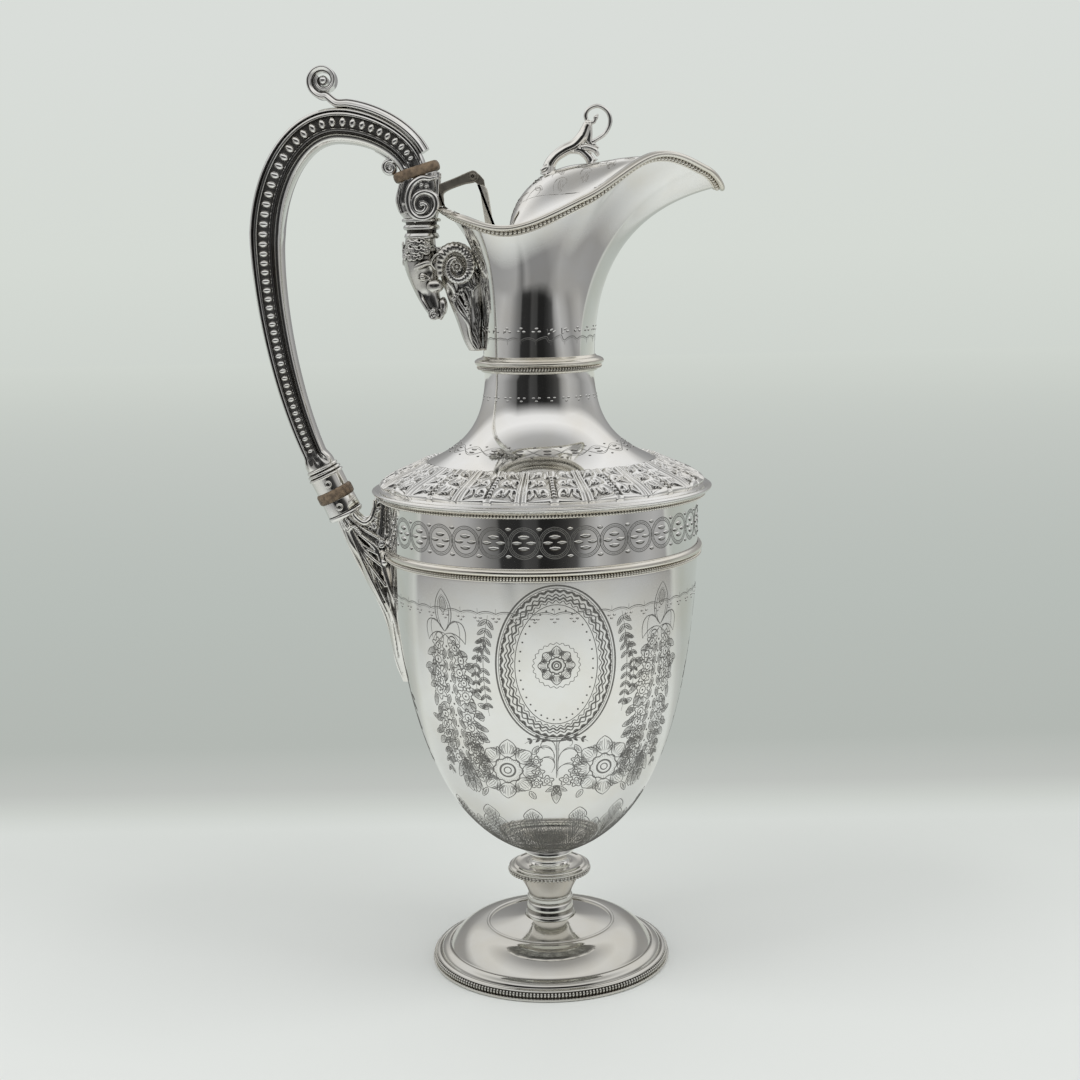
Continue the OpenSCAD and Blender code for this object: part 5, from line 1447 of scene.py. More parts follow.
def make_shoulder_relief():
    """The chased zone: flutes between curled leaves, and a column of beads between each two units."""
    columns = 16
    outline = curve(SHOULDER_BEND, 80)
    total = lengths(outline)[-1]
    rows, wide = 132 // STEP, 108 // STEP
    surface = turned_surface(outline)
    share = np.linspace(0, 1, rows)[:, None]
    phase = (np.arange(wide) + 0.5) / wide - 0.5
    narrow = 1.08 - 0.26 * share
    half_unit = 9.7
    x = np.abs(phase)[None, :] * (2 * half_unit) * narrow         # mm from the unit's middle
    y = share * total + 0 * x
    half = half_unit * narrow

    def ridge(points, width, height):
        """A raised line with a soft end; width may change along it."""
        points = np.asarray(points, float)
        w = np.interp(np.linspace(0, 1, len(points)), np.linspace(0, 1, len(width)), width)
        best = np.zeros_like(x)
        for (px, py), r in zip(points, w):
            d = np.hypot(x - px * narrow, y - py) / r
            best = np.maximum(best, height * np.sqrt(np.clip(1 - d * d, 0, 1)))
        return best

    height = ridge(np.linspace((1.0, 0.8), (0.9, total - 0.8), 60), (1.05, 0.95, 0.7), 0.95)
    for k, size in enumerate((1.2, 1.08, 0.92)):
        foot = 0.8 + k * total * 0.31
        stem = spline([(2.3, foot), (4.4, foot + 0.8), (6.9 * size, foot + 1.6), (7.5 * size, foot + 4.2),
                       (6.2 * size, foot + 6.2 * size), (4.4 * size, foot + 5.4 * size),
                       (4.5 * size, foot + 3.9)], 60)
        height = np.maximum(height, ridge(stem, (0.8, 1.35 * size, 1.25 * size, 0.7), 0.95))
        height = np.maximum(height, ridge([(5.8 * size, foot + 4.1)], (0.75 * size,), 0.85))
        height = np.maximum(height, ridge(spline([(2.4, foot + 2), (3.3, foot + 4.4), (2.9, foot + 6.2)],
                                                 14), (0.55, 0.85, 0.3), 0.75))
    side = half - x                                               # mm from the bead column
    pitch = 1.75
    along = (y + 0.6) % pitch - pitch / 2
    bead = np.sqrt(np.clip(1 - (side ** 2 + along ** 2) / 0.88 ** 2, 0, 1))
    column = (share > 0.12) & (share < 0.8)
    height = np.where(column & (side < 1.1), 0.95 * bead, height)
    height = np.maximum(height, np.where(~column, 0.9 * np.sqrt(np.clip(1 - (side / 1.6) ** 2, 0, 1)), 0))
    edge = np.clip(np.minimum(share, 1 - share) / 0.05, 0, 1)
    edge = edge * edge * (3 - 2 * edge)
    for _ in range(2 // STEP):
        height[1:-1] = (height[1:-1] * 2 + height[:-2] + height[2:]) / 4
    # shade: patina and painted shade, darker where the relief is low
    shade = np.clip(1 - height / 0.5, 0, 1) ** 0.7 * edge
    height, shade = np.tile(height * edge, columns), np.tile(shade, columns)
    cols = columns * wide
    angle = MEDALLION_AT + (np.arange(cols) + 0.5) * 360 / cols
    grid_a, grid_run = np.broadcast_arrays(angle[None, :], share * total)
    flat, normals, _ = surface(grid_a, grid_run)
    points = flat + normals * (height * 1.6 - 0.2)[..., None]
    inner = flat - normals * 0.5
    mass = Mass()
    loop = np.concatenate([points, inner[::-1]])
    faces = quads(2 * rows, cols, close_rows=True)
    solid(mass, loop, faces, np.concatenate([shade, 0 * shade]).ravel())
    return piece("shoulder_chased_relief", mass, CHASED, sharp=60)


make_bowl_engraving()
make_band_engraving()
make_neck_engraving()
make_spout_engraving()
make_shoulder_relief()


# ---------- cast pieces ----------
def neighbours_mean(points, faces):
    """Mean of each point's neighbours."""
    a = np.concatenate([faces[:, i] for i in range(4)])
    b = np.concatenate([faces[:, (i + 1) % 4] for i in range(4)])
    total = np.zeros_like(points)
    for i in range(3):
        total[:, i] = np.bincount(a, points[b, i], len(points)) + np.bincount(b, points[a, i], len(points))
    count = np.bincount(a, minlength=len(points)) + np.bincount(b, minlength=len(points))
    return total / np.maximum(count, 1)[:, None]


def outward_normals(points, faces):
    n = np.cross(points[faces[:, 2]] - points[faces[:, 0]], points[faces[:, 3]] - points[faces[:, 1]])
    total = np.zeros_like(points)
    for i in range(4):
        for k in range(3):
            total[:, k] += np.bincount(faces[:, i], n[:, k], len(points))
    return unit(total + 1e-12)


def cast(name, mass, voxel, nodes=(), body="jug", smooth=2, dents=(), fit=None, depth=0.16, tarnish=0.0):
    """Melts overlapping solids into one casting, painting shade and patina into its hollows. A dent is
    (place, radius, push).
    """
    points, groups = mass.arrays()[:2]
    mesh = mesh_of(name + "_raw", points, groups)
    raw = bpy.data.objects.new(name + "_raw", mesh)
    bpy.context.scene.collection.objects.link(raw)
    mod = raw.modifiers.new("melt", "REMESH")
    mod.mode, mod.voxel_size = "VOXEL", voxel * MM * 1
    melted = raw.evaluated_get(bpy.context.evaluated_depsgraph_get()).to_mesh()
    p = np.empty(len(melted.vertices) * 3)
    melted.vertices.foreach_get("co", p)
    p = p.reshape(-1, 3) / MM
    f = np.empty(len(melted.loops), int)
    melted.loops.foreach_get("vertex_index", f)
    f = f.reshape(-1, 4)
    raw.evaluated_get(bpy.context.evaluated_depsgraph_get()).to_mesh_clear()
    bpy.data.objects.remove(raw)
    bpy.data.meshes.remove(mesh)
    for _ in range(smooth):
        p = 0.5 * p + 0.5 * neighbours_mean(p, f)
    for place, radius, push in dents:
        d = np.linalg.norm(p - np.asarray(place, float), axis=1) / radius
        p = p + np.exp(-d * d * 1.8)[:, None] * np.asarray(push, float)
    if fit:
        p = fit(p)
    # shade: patina and painted shade, by how deep each point lies under smoothed copies of the casting;
    # tarnish raises it everywhere
    soft, out_dir, shade = p, outward_normals(p, f), np.zeros(len(p))
    for passes, deep in ((14, depth), (50, 3.2 * depth)):
        for _ in range(int(passes / (1))):
            soft = 0.4 * soft + 0.6 * neighbours_mean(soft, f)
        shade = np.maximum(shade, ((soft - p) * out_dir).sum(1) / deep - 0.1)
    shade = np.clip(shade + tarnish, 0, 1) ** 0.8
    out = Mass()
    out.add(p, oriented(p - p.mean(0), f), shade)
    return piece(name, out, HOLLOWED, nodes, body, sharp=70)


def mirrored(make):
    """Calls make(1) for the camera's far side and make(-1) for its near side."""
    for side in (1, -1):
        make(side)


def curl(mass, at, radius, thick, turns=1.4, side=1, start=0.0, lean=(0, 1.0, 0)):
    """A small raised spiral that lies on a surface facing the given way."""
    out = unit(np.asarray(lean, float))
    u = unit(np.cross([0.0, 0.0, 1.0] if abs(out[2]) < 0.9 else [1.0, 0, 0], out))
    v = np.cross(out, u)
    k = np.linspace(0, 1, int(14 * turns) + 4)
    a = np.radians(start) + side * 2 * math.pi * turns * k
    r = radius * (1 - 0.78 * k)
    at = np.asarray(at, float)
    around = np.cos(a)[:, None] * u + np.sin(a)[:, None] * v
    tube(mass, at + r[:, None] * around + (0.5 * thick * k)[:, None] * out, thick * (1 - 0.3 * k), 8, up=out)
    blob(mass, at + 0.4 * thick * out, (thick * 0.9,) * 3, around=10, up=6)


back_wall = np.array([wall_point(180, s)[[0, 2]] for s in np.linspace(0, 1, 60)])


def against_spout(p):
    """Keeps points behind the outer face of the spout and the collar under it."""
    r = -np.interp(p[:, 2], back_wall[:, 1], back_wall[:, 0])
    r = np.where(p[:, 2] < spout_z, neck_r, r)
    limit = -np.sqrt(np.clip((r - 0.25) ** 2 - p[:, 1] ** 2, 1, None))
    out = p.copy()
    out[:, 0] = np.minimum(out[:, 0], limit)
    return out


mask_x = centre("capital_neck")[0]
capital_z = low("capital")
mask_z = low("capital_neck")
rim_z_back = low("hinge_bracket") - 1.3
mask_unit = 0.415
# Sections in hundredths of the mask's length, from the ring down: the skull's as (middle in X, height, half
# length, half width), the wool's as (from X, to X, height, half width)
SKULL = [(0, 0, 14, 14), (-1, -10.6, 15.6, 15), (0.6, -24, 15.2, 13.2), (3.4, -38.5, 12.6, 9.6),
         (6.4, -50.6, 10, 7.4), (10, -60, 8.2, 7), (12.6, -67, 6.0, 6.2), (13.6, -70.5, 3.2, 3.6)]
WOOL = [(8.4, 25, -7.2, 11), (13.2, 41, -16.9, 13), (17, 53, -33.7, 12.5), (23, 53, -53, 11),
        (30, 53, -72.3, 9), (35.6, 53, -89.2, 6.6), (40.6, 53, -99, 4.4)]


def make_ram():
    """The ram's mask: wool on the brow, spiral horns, and locks of wool down the neck."""
    mass = Mass()
    horn_x, horn_z = mask_x + 13.5, mask_z - 10.3
    ring = np.array([mask_x, 0, mask_z])
    at = np.round(ring, 1)           # places on the face and the neck are counted from here
    stations = spline(np.array(SKULL, float), 46) * mask_unit
    c = circle_angles(40)
    rings = [np.stack([s[0] + s[2] * np.cos(c) * (1 - 0.06 * np.cos(2 * c)), s[3] * np.sin(c),
                       s[1] + 0.25 * (s[1] < 0) * s[2] * np.cos(c)], 1) + ring for s in stations]
    loft(mass, rings)
    stations = spline(np.array(WOOL, float), 30) * mask_unit
    rings = [np.stack([(s[0] + s[1]) / 2 + (s[1] - s[0]) / 2 * np.cos(c), s[3] * np.sin(c),
                       s[2] + 0 * c], 1) + ring for s in stations]
    loft(mass, rings)

    def line(points, n):
        """A smooth line, from points counted from the middle of the ring."""
        return spline(at + points, n)

    def half(side):
        y = side
        tube(mass, line([(-3.9, y * 2.2, -10.5), (-0.9, y * 4.6, -9.9), (2.5, y * 5.9, -8.8),
                         (5.1, y * 5.8, -9.1)], 16), swelling(16, [0, 0.3, 1], [0.7, 1.4, 0.9]), 10)
        blob(mass, at + (5.1, y * 4.7, -17.1), (3.0, 1.7, 2.6), around=20)
        blob(mass, at + (0.8, y * 5.0, -13.8), (1.15, 0.8, 0.9), around=14)
        tube(mass, line([(-1.2, y * 3.9, -14.1), (0.6, y * 4.9, -12.7), (2.4, y * 5.2, -13.3),
                         (3.5, y * 5.0, -14.5)], 12), 0.34, 8)
        tube(mass, line([(-1.2, y * 3.9, -14.1), (0.5, y * 4.6, -14.9), (2.3, y * 4.9, -14.8),
                         (3.5, y * 5.0, -14.5)], 12), 0.3, 8)
        tube(mass, line([(-1.3, y * 2.0, -18.1), (0.5, y * 2.7, -22.5), (2.3, y * 2.9, -25.9)], 12), 0.85, 10)
        curl(mass, at + (4.4, y * 3.1, -27.7), 2.0, 0.66, 1.2, -side, 70, (-0.25, side, -0.1))
        tube(mass, line([(6.5, y * 3.0, -25.5), (7.4, y * 2.9, -27.5), (6.5, y * 2.3, -29.2)], 10), 0.7, 10)
        blob(mass, at + (7.8, y * 1.6, -24.5), (1.5, 1.7, 3.4))
        # Ear, folded back under the horn
        tube(mass, line([(5.5, y * 6.2, -11.5), (4.1, y * 7.0, -8.7), (5.9, y * 7.4, -5.9),
                         (9.1, y * 7.4, -4.9)], 16), 0.42, 8)
        blob(mass, at + (6.1, y * 6.2, -9.3), (1.3, 0.7, 2.3))
        # Horn
        k = np.linspace(0, 1, 150)
        a = np.radians(205 - 476 * k)
        r = 6.6 - 4.2 * k
        horn = np.stack([horn_x + r * np.cos(a), y * (5.8 + 2.6 * k), horn_z + 1.22 * r * np.sin(a)], 1)
        ribs = 1 + 0.13 * np.abs(np.sin(math.pi * 34 * k))
        tube(mass, horn, (2.45 - 1.75 * k) * np.clip(0.5 + 4 * k, 0, 1) * ribs, 16, flat=0.85)
        middle = np.array([horn_x, y * 8.5, horn_z])
        for j in range(8):
            t = 2 * math.pi * j / 8
            blob(mass, middle + [1.55 * math.cos(t), 0.15 * y, 1.55 * math.sin(t)], (0.52,) * 3, around=10,
                 up=6)
        blob(mass, middle, (0.7, 0.7, 0.7), around=12, up=8)
        # Curls of wool over the brow and round the horn's root
        for row, (z, x0, x1, n) in enumerate([(-1.5, -3.9, 4.3, 5), (-4.1, -5.3, 5.3, 6),
                                              (-6.5, -5.5, 1.7, 4)]):
            for i in range(n):
                x = at[0] + x0 + (x1 - x0) * (i + 0.5 * (row % 2)) / n
                across = math.sqrt(max(0.3, 1 - ((x - mask_x) / 6.5) ** 2)) * 6.2
                out = unit(np.array([(x - mask_x) / 6.5 * 1.2, side * across / 6.2, 0.1]))
                curl(mass, (x, y * across, at[2] + z + 0.5 * math.sin(3 * i)), 1.35, 0.6, 1.1,
                     side if i % 2 else -side, 40 * i, out)
        # Locks down the neck
        for j in range(6):
            t = np.linspace(0, 1, 40)
            x = np.interp(t, [0, 0.25, 0.6, 1],
                          [10.1 + 1.5 * j, 12.1 + 1.5 * j, 16.1 + 0.9 * j, 19.9 + 0.35 * j])
            x = at[0] + x + 0.55 * np.sin(13 * t + 1.3 * j)
            z = at[2] - 15.5 - 25.2 * t + 1.1 * j * (1 - t)
            bow = np.interp(t, [0, 0.5, 1], [5.4, 4.7, 2.6]) * (1 - 0.07 * j)
            lock = np.stack([x, y * (bow + 0.5 * np.cos(11 * t + j)), z], 1)
            tube(mass, lock, (1.0 - 0.55 * t) * (1 - 0.04 * j), 10)
            curl(mass, (x[9], y * (bow[9] + 0.7), z[9]), 1.05, 0.4, 1.2, side, 60 * j)
        for j in range(7):
            blob(mass, at + (15.1 + 0.35 * j, y * (6.6 - 0.3 * j), -18.5 - 1.7 * j), (0.6,) * 3, around=10,
                 up=6)
    mirrored(half)
    for i in range(4):
        curl(mass, (mask_x - 6.3, 0, at[2] - 1.7 - 2.1 * i), 1.1, 0.45, 1.3, 1 if i % 2 else -1, 90 * i,
             (-1, 0, 0.1))
    # Each hollow as (place, radius, push): the eye, the cheek, the gap behind the jaw and the mouth
    hollows = [((3.3, 6.3, -12.1), 2.2, (0.6, -2.6, 0.1)), ((1.1, 4.4, -20.5), 1.8, (0.5, -1.0, 0)),
               ((9.7, 4.6, -20.1), 2.6, (0.2, -2.6, 0)), ((6.1, 3.4, -26.5), 0.9, (0, -0.7, 0))]
    dents = [(at + np.array(place) * [1, side, 1], radius, np.array(push) * [1, side, 1])
             for place, radius, push in hollows for side in (1, -1)]
    return cast("ram_mask", mass, 0.2, ["ram_head"], dents=dents, fit=against_spout, smooth=1, depth=0.075,
                tarnish=0.1)


# The volute's midline in mm from its eye, from its start at the upper right to its end
VOLUTE = [(6.4, 10.2), (3.6, 9.6), (0.2, 9.7), (-3.4, 7.2), (-5.2, 2.4), (-4.4, -2.4), (-1.0, -5.1),
          (3.4, -4.4), (5.9, -0.8), (5.0, 3.2), (1.5, 4.7), (-1.9, 3.4), (-3.2, 0.5), (-2.3, -2.3),
          (0.5, -2.7), (2.0, -0.6), (0.4, 0.7)]


def make_capital():
    mass = Mass()
    z0 = capital_z
    top = ins_mid - ins_axis * 1.85
    left = spline([top - 7.3 * ins_flat, (mask_x - 7.6, z0 + 10.4), (mask_x - 8.5, z0 + 6.6),
                   (mask_x - 7.6, z0 + 2.6), (mask_x - 5.9, z0 + 0.05)], 26)
    right = spline([top + 7.2 * ins_flat, (mask_x + 8.0, z0 + 11), (mask_x + 7.8, z0 + 6),
                    (mask_x + 7.2, z0 + 2.6), (mask_x + 6.6, z0 + 0.05)], 26)
    section = oval(1, 1, 40, 3.4)
    rings = []
    across = 5.7
    for a, b in zip(left, right):
        mid, half = (a + b) / 2, (b - a) / 2
        rings.append(np.stack([mid[0] + half[0] * section[:, 0], across * section[:, 1],
                               mid[1] + half[1] * section[:, 0]], 1))
    loft(mass, rings[::-1])

    def half(side):
        y = side * 5.5
        x1, z1 = mask_x + 1.1, z0 + 4.6
        volute = np.array(VOLUTE) * [0.93, 0.96] + [x1, z1]
        line = spline(volute, 110)
        swell = swelling(110, [0, 0.12, 0.6, 1], [0.7, 1.2, 1.1, 0.65])
        tube(mass, upright(line, y + side * 0.35), swell, 10, up=(0, side, 0))
        blob(mass, (x1 + 0.1, y + side * 0.4, z1 + 0.2), (0.9, 0.8, 0.9), around=14, up=8)
        for dx, dz, size in ((0.3, 7.1, 0.75), (2.0, 6.5, 0.7), (-2.4, -6.0, 0.5), (-5.9, -2.8, 0.5),
                             (-6.6, 0.2, 0.5)):
            blob(mass, (x1 + dx, y + side * 0.3, z1 + dz), (size,) * 3, around=10, up=7)
        tube(mass, spline([(mask_x + 7.6, y * 0.94, z0 + 16.2), (mask_x + 7.0, y, z0 + 9),
                           (mask_x + 6.5, y, z0 + 3.5), (mask_x + 4.9, y, z0 + 0.8)], 24), 0.62, 9,
             up=(0, side, 0))
        tube(mass, spline([(mask_x - 6.0, y, z0 + 12.5), (mask_x - 7.0, y * 0.95, z0 + 9),
                           (mask_x - 7.4, y * 0.9, z0 + 5.5), (mask_x - 6.2, y * 0.95, z0 + 1.4)], 24), 0.5,
             9, up=(0, side, 0))
        # Leaf that stands out over the hinge's bracket
        tube(mass, spline([(mask_x + 5.2, y * 0.62, z0 + 9.5), (mask_x + 6.6, y * 0.6, z0 + 13),
                           (mask_x + 7.8, y * 0.5, z0 + 15.0)], 14), np.linspace(1.3, 0.65, 14), 10,
             up=(0, side, 0))
    mirrored(half)

    def fit(p):
        above = (p[:, [0, 2]] - top) @ ins_axis
        out = p.copy()
        over = np.clip(above, 0, None)[:, None] * ins_axis
        out[:, 0] -= over[:, 0]
        out[:, 2] -= over[:, 1]
        return out
    return cast("capital_scrolled", mass, 0.2, ["capital"], fit=fit, smooth=1, depth=0.1, tarnish=0.04)


def make_capital_rings():
    mass = Mass()
    z = mask_z
    profile = filleted([(0.2, z + 0.05), (5.5, z + 0.05, 0.3), (5.9, z + 0.9, 0.4), (5.4, z + 2.0, 0.15),
                        (4.9, z + 2.2, 0.1), (4.9, z + 3.1, 0.1), (5.9, z + 3.4, 0.2), (6.1, z + 4.3, 0.4),
                        (5.7, z + 5.0, 0.15), (5.1, z + 5.2, 0.1), (5.2, z + 5.9, 0.1),
                        (6.4, z + 6.2, 0.25), (6.5, z + 7.0, 0.3), (5.9, z + 7.5, 0.2), (0.2, z + 7.55)])
    # Patina and painted shade in the grooves between the rings, and a little all over
    dark = np.where((profile[:, 0] < 5.25) & (profile[:, 0] > 4), 0.95, 0.15)
    a = circle_angles(120)
    x = mask_x + 0.6 + profile[:, :1] * np.cos(a) * 1.1
    y = profile[:, :1] * np.sin(a) * 1.05
    solid(mass, np.stack([x, y, profile[:, 1:] + 0 * a], -1).reshape(-1, 3),
          quads(len(profile), 120, close_rows=True), np.repeat(dark, 120))
    return piece("capital_rings", mass, CAST, ["capital_neck"], sharp=40)


# ---------- hinge, lid and finial ----------
hinge_at = np.array([-22.8, 299.1])
knuckle_r, lid_knuckle_w, ear_w, side_gap = 2.1, 3.2, 1.6, 0.15


def bar(mass, outline, y0, y1, round_by):
    """A flat bar cut to an outline in the X-Z plane, with rounded edges."""
    outline = np.asarray(outline, float)
    t = unit(np.roll(outline, -1, 0) - np.roll(outline, 1, 0))
    inward = np.stack([-t[:, 1], t[:, 0]], 1)
    area = 0.5 * np.sum(outline[:, 0] * np.roll(outline[:, 1], -1) - np.roll(outline[:, 0], -1)
                        * outline[:, 1])
    inward = inward if area > 0 else -inward
    turn = np.radians([0, 22.5, 45, 67.5, 90])
    # A narrow flat rim round each end face keeps that face flat where the edge is smooth
    inset_by = np.concatenate([[1.5 * round_by], round_by * (1 - np.sin(turn))])
    step = np.concatenate([[0], round_by * (1 - np.cos(turn))])
    rings = []
    for y, by in zip(np.concatenate([y0 + step, (y1 - step)[::-1]]),
                     np.concatenate([inset_by, inset_by[::-1]])):
        flat = outline + inward * by
        rings.append(np.stack([flat[:, 0], np.full(len(flat), y), flat[:, 1]], 1))
    m = len(outline)
    ends = [np.arange(m)[None, ::-1], (len(rings) - 1) * m + np.arange(m)[None]]
    return solid(mass, np.concatenate(rings), [quads(len(rings), m)] + ends)


def knuckle_arc(start, end, n):
    """The round end of a knuckle, about the hinge's pin."""
    return [hinge_at + knuckle_r * np.array([math.cos(t), math.sin(t)])
            for t in np.radians(np.linspace(start, end, n))]


def make_hinge():
    """The bracket: two outer ears and the bar that links them, and the pin with its heads."""
    bracket = Mass()
    half = lid_knuckle_w / 2 + side_gap
    foot_x, foot_z = mask_x + 6.1, rim_z_back + 1.3
    arc = knuckle_arc(-70, 95, 16)
    under = spline([(foot_x + 3.1, foot_z - 0.7), (foot_x + 2.9, hinge_at[1] - 8),
                    (foot_x + 3.4, hinge_at[1] - 5.4), (hinge_at[0] - 4.2, hinge_at[1] - 2.9),
                    (hinge_at[0] + 0.2, hinge_at[1] - knuckle_r)], 26)
    over = spline([(hinge_at[0] - 1.4, hinge_at[1] + 1.7), (hinge_at[0] - 6, hinge_at[1] - 0.2),
                   (foot_x + 1.2, hinge_at[1] - 2.7), (foot_x + 0.15, hinge_at[1] - 3.2),
                   (foot_x + 0.15, foot_z)], 22)
    outline = np.vstack([under, arc[3:], over])
    for side in (1, -1):
        y = sorted([side * half, side * (half + ear_w)])
        bar(bracket, outline, *y, 0.35)
    link_bar = np.vstack([under[:17], [(hinge_at[0] - 3.6, hinge_at[1] + 0.8)], over[5:]])
    bar(bracket, link_bar, -half - 0.1, half + 0.1, 0.1)
    piece("hinge_bracket_bar", bracket, PATINA, ["hinge_bracket"], sharp=40)
    pin = Mass()
    end = half + ear_w
    profile = filleted([(0.05, end + 0.45), (0.35, end + 0.4, 0.1), (0.5, end + 0.25, 0.1),
                        (0.8, end + 0.5, 0.15), (1.35, end + 0.3, 0.15), (1.4, end + 0.02, 0.05),
                        (1.0, end), (1.0, 0)])
    profile = np.vstack([profile, (profile * [1, -1])[::-1]])
    a = circle_angles(32)
    points = np.stack([hinge_at[0] + profile[:, :1] * np.cos(a), profile[:, 1:] + 0 * a,
                       hinge_at[1] + profile[:, :1] * np.sin(a)], -1)
    # Patina and painted shade in the groove of each head
    solid(pin, points.reshape(-1, 3), quads(len(profile), 32, close_rows=True),
          np.repeat(np.where(np.abs(profile[:, 0] - 0.45) < 0.2, 0.9, 0.1), 32))
    piece("hinge_pin_headed", pin, PATINA, ["hinge_pin"], sharp=40)


lid_reach, dome_h, dome_back = 50, 18, -10
LID_SEAT = 0.93                      # how far up the spout's wall the lid lies
LID_MID = 8.0
EDGE_STEPS = 120


def lid_edge_point(f):
    """Point on the lid's edge. f is 0 at the front and 180 degrees at the back."""
    front = (lid_reach - rim_mid_x) / rim_half_l
    a = math.degrees(math.acos(max(-1.0,
                                   min(1.0, (front - 1) / 2 + (front + 1) / 2
                                       * math.cos(math.radians(f))))))
    n = wall_normal(a, LID_SEAT)
    p = wall_point(a, LID_SEAT) - (wall + 0.4 + 1.2 * abs(n[2])) * n
    return np.array([p[0], p[1] * math.sqrt(1 - ((1 + math.cos(math.radians(f))) / 2) ** 6), p[2]])


LID_EDGE = np.array([lid_edge_point(f) for f in np.linspace(0, 180, EDGE_STEPS)])
SEAT_HEIGHTS = np.array([wall_point(a, LID_SEAT)[2] for a in np.linspace(0, 180, 121)])


def seat_height(x):
    a = np.degrees(np.arccos(np.clip((x - rim_mid_x) / rim_half_l, -1, 1)))
    return np.interp(a, np.linspace(0, 180, len(SEAT_HEIGHTS)), SEAT_HEIGHTS)


def dome_rise(x, v):
    """The dome's height over the lid's seat, at x and at a share v of the way out to its side."""
    dome_front = lid_reach - 2
    f = np.clip((x - dome_back) / (dome_front - dome_back), 1e-6, 1 - 1e-6)
    v = np.clip(v, 0, 1)
    peak = 3.28 * dome_h             # the product of the two powers of f is at most 0.31
    return peak * f ** 0.55 * (1 - f) ** 1.4 * (1 - v * v) ** 0.6 * ((x > dome_back) & (x < dome_front))


def lid_points(f_index, q):
    """Points of the lid's upper face, by the point of its edge and the share of the way out to it."""
    e = LID_EDGE[f_index]
    x = LID_MID + q * (e[:, 0] - LID_MID)
    y = q * e[:, 1]
    half = np.interp(x, LID_EDGE[::-1, 0], LID_EDGE[::-1, 1])
    v = np.abs(y) / np.maximum(half - 3, 0.1)
    z = seat_height(x) + (e[:, 2] - seat_height(e[:, 0])) * q * q + dome_rise(x, v)
    return np.stack([x, y, z], 1)


LID_GRID = np.array([lid_points(np.arange(EDGE_STEPS), q) for q in np.sqrt(np.linspace(1, 0.0006, 70))])


def lid_surface(x, y):
    """Height of the lid's upper face over points of the plan, from the nearest points of its grid."""
    grid = LID_GRID.reshape(-1, 3)
    out = np.empty(len(x))
    for i, (a, b) in enumerate(zip(x, np.abs(y))):
        d = (grid[:, 0] - a) ** 2 + (grid[:, 1] - b) ** 2
        near = np.argpartition(d, 4)[:4]
        w = 1 / (d[near] + 1e-3)
        out[i] = (grid[near, 2] * w).sum() / w.sum()
    return out


def make_lid():
    mass = Mass()
    top = np.concatenate([LID_GRID, (LID_GRID * [1, -1, 1])[:, ::-1][:, 1:-1]], axis=1)
    edge = top[0]
    roll = [edge + [0, 0, -0.35], (edge - [LID_MID, 0, 0]) * [0.997, 0.997, 1] + [LID_MID, 0, -1.0]]
    under = top[1::5] - [0, 0, 1.2]
    rings = np.concatenate([top[::-1], np.array(roll), under])
    loft(mass, rings)
    piece("lid_domed", mass, HAMMERED, ["lid"], body="lid", sharp=50)

    def surface(angle, run):
        """The plan of the lid: run is X, and angle times the unit radius is Y."""
        x = np.broadcast_to(np.asarray(run, float), np.shape(angle) or np.shape(run))
        y = np.radians(np.asarray(angle, float)) + 0 * x
        z, zx, zy = (lid_surface(np.atleast_1d(x + dx), np.atleast_1d(y + dy)) for dx,
                     dy in ((0, 0), (0.5, 0), (0, 0.5)))
        n = unit(np.stack([-(zx - z) / 0.5, -(zy - z) / 0.5, 1 + 0 * z], -1))
        return np.stack([np.atleast_1d(x), np.atleast_1d(y), z], -1), n, np.ones_like(z)
    cut = Engraving(surface)
    cut.centre(0, 0)
    for side in (-1, 1):
        for x, y, size, turn in ((-13, 4, 5, 20), (-9, 9, 6, 40), (-3, 6, 5, 60), (-3, 12.5, 6.5, 60),
                                 (6, 9, 5, 80), (6, 15.5, 7, 95), (15, 8.5, 5, 100), (16, 15, 6.5, 120),
                                 (24, 7, 5, 120), (26, 12.5, 6, 140), (33, 8, 5, 150)):
            cut.scroll_leaf((side * y, x), size, turn * side, side < 0)
            cut.petal((side * (y - 2), x + 3), -side * turn, 4.4, 1.8, 1)
        cut.line(spline([(side * 2, -14), (side * 9, -9), (side * 16, 1), (side * 18.5, 12),
                         (side * 16, 26), (side * 8, 38)], 50), 0.3)
        for x, y in ((-8, 3.0), (1, 3.5), (30, 4)):
            cut.rosette((side * y, x), 1.9, 5, 10 * x)
    return piece("lid_cut_lines", cut.mass, FAINT, body="lid", sharp=20)


def crest(x):
    return float(lid_surface(np.array([x]), np.array([0.0]))[0])


def make_lid_arm():
    """A dark knuckle and elbow, and the bright bar that goes down to the lid."""
    x, z = hinge_at
    foot = x + 5.8
    knuckle, arm = Mass(), Mass()
    arc = knuckle_arc(80, 290, 24)
    elbow = np.vstack([arc, [(x + 1.5, z - 2.6), (x + 4.3, z - 3.4), (x + 4.0, z - 1.2), (x + 2.7, z + 0.4),
                             (x + 1.2, z + 1.7)]])
    bar(knuckle, elbow, -lid_knuckle_w / 2, lid_knuckle_w / 2, 0.25)
    level = crest(foot)
    down = spline([(x + 1.6, z - 2.4), (x + 2.5, z - 5.6), (foot - 2.1, level + 4.6),
                   (foot - 1.5, level + 0.4)], 16)
    up = spline([(foot + 1.9, level + 0.9), (foot + 1.0, level + 3.4), (x + 5.4, z - 5.8),
                 (x + 4.3, z - 3.2)], 16)
    bar(arm, np.vstack([down, up]), -lid_knuckle_w / 2 + 0.1, lid_knuckle_w / 2 - 0.1, 0.45)
    blob(arm, (foot + 0.6, 0, crest(foot + 0.6) + 0.45), (3.4, 3.0, 0.6))
    piece("lid_hinge_knuckle", knuckle, PATINA, body="lid", sharp=40)
    return piece("lid_hinge_arm", arm, WORN, ["lid_arm"], body="lid", sharp=40)


